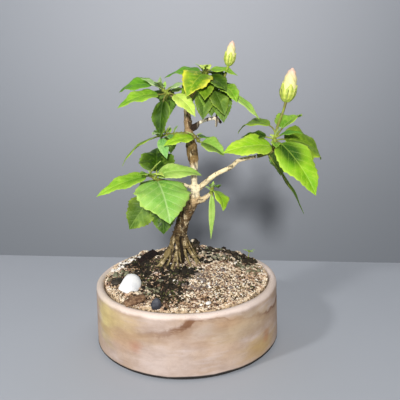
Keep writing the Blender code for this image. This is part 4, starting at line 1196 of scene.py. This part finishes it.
def growBlade(root, axes, row, rng, small=False):  # closed toothed blade: points, faces, slots
    rule = leafRule
    length, width, droop, _, fold = row[5:]
    forward, side, face = axes
    teeth = 5 if small else rule["teeth"]
    rows = teeth * (3 if small else rule["toothRows"])
    columns = 6 if small else rule["columns"]
    fold = math.radians(fold)
    phase, cycles = rng.uniform(0, math.tau), rng.uniform(1.6, 2.6)
    widest = width / 2
    above, below, marks, uvs = [], [], [], []
    for i in range(rows + 1):
        t = i / rows
        centre, upper = arch(root, forward, face, length, droop, t)
        half = bladeWidth(t, width) / 2
        toothed = clamp((t - 0.14) / 0.12) * (1 if t < 0.97 else 0)
        saw = (t * teeth) % 1.0
        reach = half + (rule["toothDepth"] * width * (saw - 0.45) * toothed
                        * min(1, half / widest * 1.6))
        for k in range(columns + 1):
            across = -1 + 2 * k / columns
            wide = reach if abs(across) > 0.99 else half
            raised = half * (abs(across) * math.sin(fold) - rule["cup"] * across ** 2)
            wave = rule["wave"] * width * across ** 2 * math.sin(
                cycles * math.tau * t + phase + (1.3 if across > 0 else 0))
            off = abs(across) * half / widest
            vein = (t - rule["veinLean"] * off ** 0.85) * rule["veins"]
            puff = rule["quilt"] * width * abs(math.sin(math.pi * vein)) * (1 - across ** 4) * off
            point = (centre + side * (wide * across * math.cos(fold))
                     + upper * (raised + wave * math.sin(math.pi * t) + puff))
            thick = rule["thick"] * (1 - 0.7 * across ** 6)
            above.append(point + upper * thick / 2)
            below.append(point - upper * thick / 2)
            marks.append(abs(across))
            uvs.append((0.5 + 0.5 * across * half / widest, t))
    return above + below, *doubleSheet(rows, columns), marks * 2, uvs * 2


class Shoot:  # the leaves and twigs of one mass, and the draws that shape them
    def __init__(self, seed):
        self.leaves, self.twigs, self.rng = Heap(), Heap(), random.Random(seed)

    def grow(self, look, node, row, small=False, rng=None):
        path, axes = leafFrame(node, row)
        root, length, droop = path[-1], row[5], row[7]
        points, faces, slots, marks, uvs = growBlade(root, axes, row, rng or self.rng, small)
        base = lookNames.index(look) * 2
        self.leaves.add(points, faces, [base + s for s in slots], marks, uvs)
        thick = leafRule["stalk"] * (0.7 if small else 1.0)
        stalk = stalkPath(node, row[1], row[2], row[3], row[4], 5)
        rows = [Vector((*point, thick * (1.25 if i == 0 else 1.0)))
                for i, point in enumerate(stalk)]
        for t in (0.05, 0.15, 0.3, 0.45, 0.6):  # the stalk runs on as the rib under the blade
            point, upper = arch(root, axes[0], axes[2], length, droop, t)
            rows.append(Vector((*(point - upper * 0.3), thick * (0.75 - 0.75 * t))))
        self.twigs.add(*tube(rows, 5 if small else 8))

    def finish(self, leavesName, twigsName, *nodes):
        settle(self.leaves.make(leavesName, leafMaterials), "foliage", *nodes)
        settle(self.twigs.make(twigsName, [twigMaterial]), "foliage", *nodes)


def alongSpine(spine, share):
    points = [row.xyz for row in spine]
    lengths = [(b - a).length for a, b in zip(points, points[1:])]
    left = share * sum(lengths)
    for a, b, length in zip(points, points[1:], lengths):
        if left <= length:
            return a.lerp(b, left / length)
        left -= length
    return points[-1]


def stemSpine(mass, steps=2):
    rows = [Vector(row) for row in mass["stem"]]
    start = []
    if mass["from"]:
        end, before = limbs[mass["from"]][-1], limbs[mass["from"]][-2]
        onward = (end.xyz - before.xyz).normalized()
        start = [Vector((*(end.xyz + onward * leafRule["clear"]), end.w))]
        rows.insert(0, Vector((*(end.xyz + onward * leafRule["straight"]), end.w)))
    return start + smoothSpine(rows, steps)


def fits(trace, skip, mass, taken, gap):  # inside the mass's space and clear of what stands
    centre, reach = (Vector(size) for size in mass["space"])
    return (all(sum(((point - centre)[i] / reach[i]) ** 2 for i in range(3)) < 1
                for point in trace)
            and all((point - other).length > gap for point in trace[skip:] for other in taken))


def youngLeaves(mass, spine, taken, shoot):
    rule = youngRule
    rng = random.Random(mass["seed"])
    for number in range(mass["young"]):
        place = 1.0 - rule["spacing"] * number
        turn = rng.uniform(0, 360) + rule["golden"] * number
        length = rng.uniform(*rule["length"])
        row = (place, turn, rng.uniform(*rule["rise"]), rng.uniform(*rule["stalk"]), 20,
               length, length * rng.uniform(*rule["shape"]), rng.uniform(*rule["droop"]), 0, 14)
        node = alongSpine(spine, place)
        trace = leafTrace(node, row)
        if fits(trace, 3, mass, taken, rule["gap"]):
            shoot.grow("lime", node, row)
            taken += trace


def fineGrowth(mass, spine, taken, shoot):
    rule, rng = fineRule, shoot.rng
    for _ in range(rule["tries"]):  # small leaves still opening round the shoot
        place = rng.uniform(0.35, 1.0)
        length = rng.uniform(*rule["length"])
        row = (place, rng.uniform(0, 360), rng.uniform(*rule["rise"]), rng.uniform(1.5, 3.0),
               10, length, length * rng.uniform(*rule["shape"]), rng.uniform(10, 45), 0, 24)
        node = alongSpine(spine, place)
        trace = leafTrace(node, row)
        if fits(trace, 6, mass, taken, rule["gap"]):
            shoot.grow(rng.choice(("lime", "silver", "pale")), node, row, small=True)
            taken += trace
    for place in (0.25, 0.5, 0.75, 0.95):  # paired scales at the joints
        node = alongSpine(spine, place)
        turn = rng.uniform(0, 360)
        for side in (0, 180):
            tip = node + leafAxes(turn + side, 50, 0)[0] * rule["scale"]
            middle = node.lerp(tip, 0.5) + leafAxes(turn + side, -20, 0)[0] * 0.4
            shoot.twigs.add(*tube([Vector((*node, 0.7)), Vector((*middle, 0.45)),
                                   Vector((*tip, 0.1))], 5))


# ---- buds: furled petals in a striped cup with thin bracts

bloom = {
    "profile": ((0.0, 0.30), (0.07, 0.70), (0.22, 0.98), (0.45, 0.98), (0.68, 0.84), (0.88, 0.56),
                (1.0, 0.14)),
    "rows": 44, "sides": 80, "petals": 5, "twist": 1.35, "ridge": 0.13,
    "lobes": 5, "cup": 0.52, "bracts": 7, "stripes": 10.0,
    "bractPath": ((0.0, -0.02, 0.9), (0.24, 0.02, 0.85), (0.48, 0.16, 0.6), (0.60, 0.34, 0.2)),
}


def petalFinish():
    coat = Finish("furled_petals", paint(236, 230, 158), 0.45, 0.4)
    coat.lay(coat.fade(coat.mark(), 0.6, 0.95), paint(238, 196, 180))
    flat = coat.blade()
    streak = coat.cloud(paint(250, 240, 184), (2.2, 3, 0.55, (26, 2.0, 1), flat),
                        (0.45, 0.7, 0.0, 0.55))
    # painted shade: darker in the creases between the furled petals
    fold = coat.fade(coat.calc("PINGPONG", coat.axes(flat)["X"], 0.5), 0.0, 0.16, 0.65, 0.0)
    coat.lay(fold, paint(206, 160, 76))
    return coat.done(streak, 0.4, 0.3)


def cupFinish():
    coat = Finish("green_cup", paint(206, 216, 92), 0.55, 0.35)
    turn = coat.times(coat.axes(coat.blade())["X"], bloom["stripes"])
    stripe = coat.fade(coat.calc("PINGPONG", turn, 0.5), 0.1, 0.42, 0.0, 0.7)
    coat.lay(stripe, paint(138, 166, 48))
    coat.cloud(paint(236, 228, 150), (320, 3), (0.4, 0.7, 0.0, 0.4))
    return coat.done(stripe, 0.5, 0.3)


def bractFinish():
    coat = Finish("thin_bract", paint(172, 190, 84), 0.6, 0.3)
    coat.lay(coat.mark(), paint(70, 84, 34))
    fine = coat.cloud(paint(206, 210, 122), (500, 3), (0.45, 0.7, 0.0, 0.4))
    return coat.done(fine, 0.4, 0.2)


def profileAt(rows, t):
    for (t0, r0), (t1, r1) in zip(rows, rows[1:]):
        if t <= t1:
            share = (t - t0) / (t1 - t0)
            share = share * share * (3 - 2 * share)
            return r0 + (r1 - r0) * share
    return rows[-1][1]


def budFrame(foot, tip):
    axis = tip - foot
    return axis, axis.to_track_quat("Z", "Y").to_matrix()


def addPetals(heap, foot, tip, width):
    rule = bloom
    axis, turned = budFrame(foot, tip)
    rows, sides = rule["rows"], rule["sides"]
    points, marks, uvs = [], [], []
    for i in range(rows + 1):
        t = i / rows
        radius = profileAt(rule["profile"], t) * width / 2
        for k in range(sides):
            turn = math.tau * k / sides
            saw = (rule["petals"] * (k / sides + rule["twist"] * t * 0.5)) % 1.0
            ridge = 1 + rule["ridge"] * (saw - 0.62) * math.sin(math.pi * min(1, t * 1.1))
            out = Vector((math.cos(turn), math.sin(turn), 0)) * radius * ridge
            points.append(foot + axis * t + turned @ out)
            marks.append(t)
            uvs.append((saw, t))
    heap.add(points, tubeFaces(rows + 1, sides), 0, marks, uvs)


def addCup(heap, foot, tip, width):  # closed cup whose rim runs out into pointed lobes
    rule = bloom
    axis, turned = budFrame(foot, tip)
    rows, sides = 20, 100
    outer, inner, uvs = [], [], []
    for i in range(rows + 1):
        for k in range(sides):
            turn = math.tau * k / sides
            lobe = abs(((rule["lobes"] * k / sides) % 1.0) - 0.5) * 2
            reach = rule["cup"] * (0.52 + 0.48 * (1 - lobe) ** 0.8)
            t = reach * i / rows
            radius = profileAt(rule["profile"], t) * width / 2
            rib = 0.14 * math.cos(rule["stripes"] * turn)
            out = Vector((math.cos(turn), math.sin(turn), 0))
            outer.append(foot + axis * t + turned @ (out * (radius + 0.75 + rib)))
            inner.append(foot + axis * t + turned @ (out * max(radius * 0.9, 0.2)))
            uvs.append((k / sides, i / rows))
    faces, count, top = [], len(outer), rows * sides
    for i in range(rows):
        for k in range(sides):
            a, b = i * sides + k, i * sides + (k + 1) % sides
            faces += [(a, b, b + sides, a + sides),
                      (count + a, count + a + sides, count + b + sides, count + b)]
    for a in range(sides):
        b = (a + 1) % sides
        faces += [(b, a, count + a, count + b),
                  (top + a, top + b, count + top + b, count + top + a)]
    heap.add(outer + inner, faces, 1, None, uvs * 2)


def addBracts(heap, foot, tip, width):
    axis, turned = budFrame(foot, tip)
    for number in range(bloom["bracts"]):
        turn = math.tau * (number + 0.3) / bloom["bracts"]
        out = Vector((math.cos(turn), math.sin(turn), 0))
        rows = [Vector((*(foot + turned @ (out * width * away + Vector((0, 0, axis.length * up)))),
                        radius)) for away, up, radius in bloom["bractPath"]]
        spine = smoothSpine(rows, 5)
        points, faces = tube(spine, 8)
        marks = [clamp((i // 8) / (len(spine) - 1) * 1.6 - 0.6) for i in range(len(points))]
        heap.add(points, faces, 2, marks)


# ---- every mass, grown by the same rule

lookNames = list(leafLooks)
leafMaterials = [finish(name, look) for name, look in leafLooks.items()
                 for finish in (leafFinish, underFinish)]
twigMaterial = twigFinish()


def swellings(spine, shoot):  # joints along a shoot
    for place in (0.15, 0.4, 0.65, 0.9):
        node = alongSpine(spine, place)
        ahead = (alongSpine(spine, min(1, place + 0.05)) - node)
        ahead = ahead.normalized() if ahead.length > 0.01 else Vector((0, 0, 1))
        wide = 1.5 + shoot.rng.uniform(0, 0.25)
        rows = [Vector((*(node + ahead * shift), radius))
                for shift, radius in ((-1.3, 0.9), (-0.4, wide), (0.4, wide), (1.3, 0.9))]
        shoot.twigs.add(*tube(smoothSpine(rows, 2), 10))


def growMasses():
    spines = {name: stemSpine(mass) for name, mass in foliage.items()}
    taken = [row.xyz for spine in limbs.values() for row in spine]
    for name, mass in foliage.items():
        for look, *row in mass["leaves"]:
            taken += leafTrace(alongSpine(spines[name], row[0]), row)
        if "bud" in mass:
            taken += [row.xyz for row in smoothSpine(mass["bud"]["twig"], 2)[2:]]
            taken.append(Vector(mass["bud"]["tip"]))
    buds = Heap()
    for name, mass in foliage.items():
        shoot, spine = Shoot(100 + mass["seed"]), spines[name]
        for look, *row in mass["leaves"]:
            shoot.grow(look, alongSpine(spine, row[0]), row)
        youngLeaves(mass, spine, taken, shoot)
        for look, *row in mass.get("extra", ()):
            shoot.grow(look, alongSpine(spine, row[0]), row)
        fineGrowth(mass, spine, taken, shoot)
        backRng = random.Random(200 + mass["seed"])
        for look, *row in mass.get("back", ()):
            shoot.grow(look, alongSpine(spine, row[0]), row, rng=backRng)
        shoot.twigs.add(*tube(stemSpine(mass, 6), 12))
        swellings(spine, shoot)
        if "bud" in mass:
            stalk = smoothSpine(mass["bud"]["twig"], 6)
            shoot.twigs.add(*tube(stalk, 12))
            foot, tip = stalk[-1].xyz, Vector(mass["bud"]["tip"])
            for add in (addPetals, addCup, addBracts):
                add(buds, foot, tip, mass["bud"]["width"])
        short = name.replace("foliage_", "")
        shoot.finish("leaves_" + short, "twigs_" + short, name)
    made = buds.make("buds", [petalFinish(), cupFinish(), bractFinish()])
    settle(made, "foliage", "foliage_upper_right", "foliage_right")


growMasses()
print("leaves, twigs and buds done")


# ---- stones and bark lying on the soil

loose = {
    "pebble": {"size": (19.5, 18.5, 9.0), "place": (-47.0, -34.0, 60.2), "turn": 20.0,
               "tilt": 48.0, "point": 0.45},
    "slab": {"size": (25.0, 9.0, 5.0), "place": (-37.0, 30.0, 59.6), "turn": 62.0, "tilt": 24.0,
             "narrow": 0.25, "thin": 0.22, "bow": 0.05, "lift": 2.4},
    "curl": {"rows": 40, "columns": 14, "thick": 1.1, "centre": (-41.0, -57.5, 56.2),
             "length": 17.0, "radius": 3.2, "forward": (0.88, 0.44, 0.12)},
    # a seedling: place, lean, height, and for each leaf its turn, rise and length
    "sprout": {"place": (59, 28), "lean": 1.5, "height": 8.0,
               "leaves": ((10, 25, 4.5), (170, 30, 5), (250, 50, 3.5), (310, 20, 4))},
    # name: centre, size, turn, tilt, finish and its two colours
    "stones": {
        "blue_grey_stone": ((-24.0, -64.5, 55.6), (8.0, 7.0, 11.5), 15, 12,
                            "blue_grey_stone", (48, 50, 58), (84, 86, 94)),
        "dark_stones": ((-59, -17, 56.0), (12, 9, 6), 30, 8,
                        "dark_stone", (46, 42, 36), (74, 66, 54)),
        "white_chip": ((16.0, -66, 56.3), (5, 3.4, 2.6), 40, 10,
                       "white_chip", (238, 236, 232), (208, 204, 198)),
        "pale_chip": ((5.0, -4.0, 61.5), (4.2, 3.4, 3.0), 70, 0,
                      "pale_chip", (204, 190, 160), (170, 152, 120)),
    },
}


def stoneFinish(name, tone, other, roughness=0.6):
    coat = Finish(name, tone, roughness, 0.35)
    coat.cloud(other, (130, 5), (0.35, 0.68))
    return coat.done(coat.noise(900, 3), 0.3, 0.25)


def roundStone(name, size, place, turn, tilt, material, shape=None, rough=0.05, steps=5):
    bpy.ops.object.select_all(action="DESELECT")
    bpy.ops.mesh.primitive_ico_sphere_add(subdivisions=steps, radius=0.5)
    made = bpy.context.active_object
    made.name = made.data.name = name
    matrix = laid(place, turn, tilt)
    for vert in made.data.vertices:
        point = vert.co.copy()
        swell = (1 + rough * lumpy(point * 10, 4.0, len(name))
                 + rough * 0.4 * lumpy(point * 10, 1.4))
        if shape:
            point = shape(point)
        vert.co = (matrix @ Vector([point[i] * size[i] * swell for i in range(3)])) * mm
    made.data.materials.append(material)
    made.data.shade_smooth()
    return made


def teardrop(point):
    squeeze = 1 - (loose["pebble"]["point"] + 0.2) * max(0.0, -2 * point.x) ** 1.2
    return Vector((point.x, point.y * squeeze + 0.16 * point.x, point.z * squeeze))


def buildPebble():
    rule = loose["pebble"]
    material = stoneFinish("white_stone", paint(240, 240, 240), paint(216, 218, 222), 0.45)
    settle(roundStone("white_pebble", rule["size"], rule["place"], rule["turn"], rule["tilt"],
                      material, teardrop, 0.03), "white_stone", "pebble")


def slabFinish(name, first, second, flecks):
    coat = Finish(name, first, 0.9, 0.2)
    coat.cloud(second, (230, 5, 0.55, (1, 1, 2.6)), (0.38, 0.66))
    return coat.done(coat.cloud(flecks, (560, 4, 0.55, (1, 1, 2.6)), (0.58, 0.7, 0.0, 0.7)),
                     0.8, 0.6)


def buildSlab():
    rule = loose["slab"]
    bpy.ops.object.select_all(action="DESELECT")
    bpy.ops.mesh.primitive_cube_add(size=1.0)
    made = bpy.context.active_object
    made.name = made.data.name = "dark_bark_slab"
    bpy.ops.object.mode_set(mode="EDIT")
    bpy.ops.mesh.select_all(action="SELECT")
    bpy.ops.mesh.subdivide(number_cuts=24)
    bpy.ops.object.mode_set(mode="OBJECT")
    matrix = laid(rule["place"], rule["turn"], rule["tilt"])
    for vert in made.data.vertices:
        point = vert.co.copy()
        end = (2 * point.x) ** 2
        bulk = Vector((point.x, point.y * (1 - rule["narrow"] * abs(2 * point.x)),
                       point.z * (1 - rule["thin"] * end) + rule["bow"] * end))
        placed = Vector([bulk[i] * rule["size"][i] for i in range(3)])
        placed.z += rule["lift"] * (point.x + 0.5) ** 2  # the far end stands up
        rim = max(abs(2 * point.x), abs(2 * point.y))
        depth = (0.45 * lumpy(placed, 2.2, 5)
                 + 0.3 * lumpy((placed.x * 0.4, placed.y, placed.z), 0.9))
        placed += Vector((0.3 * depth, depth, depth * (1.0 if rim < 0.9 else 0.4)))
        vert.co = (matrix @ placed) * mm
    made.data.materials.append(slabFinish("dark_bark", paint(24, 18, 17), paint(40, 28, 25),
                                          paint(74, 54, 44)))
    made.data.shade_smooth()
    made.data.set_sharp_from_angle(angle=math.radians(50))
    settle(made, "dark_bark", "bark_piece")


def buildCurl():  # a curled strip of brown bark at the front left
    rule = loose["curl"]
    rows, columns, thick = rule["rows"], rule["columns"], rule["thick"]
    forward = Vector(rule["forward"]).normalized()
    side = forward.cross(Vector((0, 0, 1))).normalized()
    upper = side.cross(forward)
    outer, inner = [], []
    for i in range(rows + 1):
        away = (i / rows - 0.5) * rule["length"]
        for k in range(columns + 1):
            turn = math.radians(-20 + 220 * k / columns)
            out = side * math.cos(turn) + upper * math.sin(turn)
            wobble = (0.5 * lumpy((away, k * 1.1, 0), 2.4, 7)
                      + 0.25 * lumpy((away, k * 1.1, 0), 0.9, 2))
            narrow = 1 - 0.35 * abs(2 * away / rule["length"]) ** 3
            for skin, grow in ((outer, thick / 2 + wobble), (inner, -thick / 2)):
                skin.append(Vector(rule["centre"]) + forward * away
                            + out * (rule["radius"] * narrow + grow))
    bark = slabFinish("brown_bark", paint(92, 66, 50), paint(142, 112, 86), paint(188, 162, 130))
    settle(meshPiece("curled_bark", outer + inner, doubleSheet(rows, columns)[0], [bark]),
           "dark_bark")


def buildStones():
    for name, (place, size, turn, tilt, finish, tone, other) in loose["stones"].items():
        material = stoneFinish(finish, paint(*tone), paint(*other))
        settle(roundStone(name, size, place, turn, tilt, material, None, 0.16, 4), "soil")


def buildSprout():  # a seedling among the moss behind the trunk
    shoot, rule = Shoot(5), loose["sprout"]
    foot = Vector((*rule["place"], soilHeight(*rule["place"]) - 0.5))
    top = foot + Vector((rule["lean"], 0, rule["height"]))
    for turn, rise, length in rule["leaves"]:
        row = (0, turn, rise, 1.5, 10, length, length * 0.5, 30, 0, 18)
        shoot.grow("silver", top, row, small=True)
    shoot.twigs.add(*tube([Vector((*foot, 0.4)), Vector((*(top + Vector((0, 0, 0.3))), 0.3))], 6))
    shoot.finish("sprout_leaves", "sprout_stem")


buildPebble()
buildSlab()
buildCurl()
buildStones()
buildSprout()
print("stones and bark done")


# ---- table, backdrop, lights and camera

studio = {
    "edge": ((-115.5, 210.4), (145.0, 167.8)), "reach": 3000.0, "wall": 500.0,
    "wallHalf": 2500, "wallFoot": -1500, "wallTop": 2500,
    "camera": (0.0, -0.4062, 0.2151), "turn": -1.93, "pitch": -12.87, "roll": -1.39,
    "lens": 43.2, "sensor": 36.0,
    "world": 0.09,
    # name: place, aimed at, size, watts, colour
    "lights": {
        "front": ((-0.09, -1.45, 0.68), (0, 0, 0.13), 0.15, 25.0, (1.0, 0.985, 0.96)),
        "left": ((-0.8, -0.5, 0.75), (0, 0, 0.06), 0.12, 4.6, (1.0, 0.99, 0.97)),
        "fill": ((0.9, -0.5, 0.6), (0, 0, 0.12), 0.9, 0.5, (0.95, 0.97, 1.0)),
        "rim": ((0.25, 0.35, 0.9), (0, 0, 0.16), 0.5, 1.0, (1.0, 1.0, 1.0)),
    },
}


def tableFinish():
    coat = Finish("plain_table", paint(173, 178, 186), 0.8, 0.15)
    coat.lay(coat.noise(4, 2), paint(179, 183, 191))
    return coat.done()


def wallFinish():
    coat = Finish("backdrop_painted_light", paint(187, 190, 197), 1.0, 0.0)
    # painted light: the backdrop is brighter near the top middle and darker towards the sides and
    # foot
    far = coat.distance((50, studio["wall"], 420), (500, 1000, 550))
    coat.lay(coat.fade(far, 0.0, 1.3), paint(142, 147, 155))
    return coat.done()


def buildStage():
    left, right = (Vector((*p, 0)) for p in studio["edge"])
    ahead = (right - left).normalized()
    towards = Vector((ahead.y, -ahead.x, 0))
    reach = studio["reach"]
    corners = [left - ahead * reach, right + ahead * reach,
               right + ahead * reach + towards * reach, left - ahead * reach + towards * reach]
    table = meshPiece("table_top", corners, [(0, 3, 2, 1)], [tableFinish()], False)
    back, half, foot, top = (studio[key] for key in ("wall", "wallHalf", "wallFoot", "wallTop"))
    wall = meshPiece("backdrop", [(-half, back, foot), (half, back, foot), (half, back, top),
                                  (-half, back, top)], [(0, 1, 2, 3)], [wallFinish()], False)


def buildLights():
    for name, (place, target, size, watts, colour) in studio["lights"].items():
        lamp = bpy.data.lights.new(name, "AREA")
        lamp.shape, lamp.size, lamp.energy, lamp.color = "DISK", size, watts, colour
        made = bpy.data.objects.new(name, lamp)
        made.location = place
        made.rotation_euler = (Vector(target) - Vector(place)).to_track_quat("-Z", "Y").to_euler()
        bpy.context.scene.collection.objects.link(made)
    world = bpy.data.worlds.new("studio")
    world.use_nodes = True
    shade = world.node_tree.nodes["Background"]
    shade.inputs["Color"].default_value = (0.93, 0.95, 1.0, 1.0)
    shade.inputs["Strength"].default_value = studio["world"]
    bpy.context.scene.world = world


def buildCamera():
    lens = bpy.data.cameras.new("camera")
    lens.lens, lens.sensor_width = studio["lens"], studio["sensor"]
    lens.clip_start = 0.02
    made = bpy.data.objects.new("camera", lens)
    made.matrix_world = (laid(studio["camera"], studio["turn"], 90 + studio["pitch"])
                         @ Matrix.Rotation(math.radians(studio["roll"]), 4, "Z"))
    bpy.context.scene.collection.objects.link(made)
    bpy.context.scene.camera = made
    bpy.context.scene.view_settings.view_transform = "Standard"


buildStage()
buildLights()
buildCamera()

print("stage done")
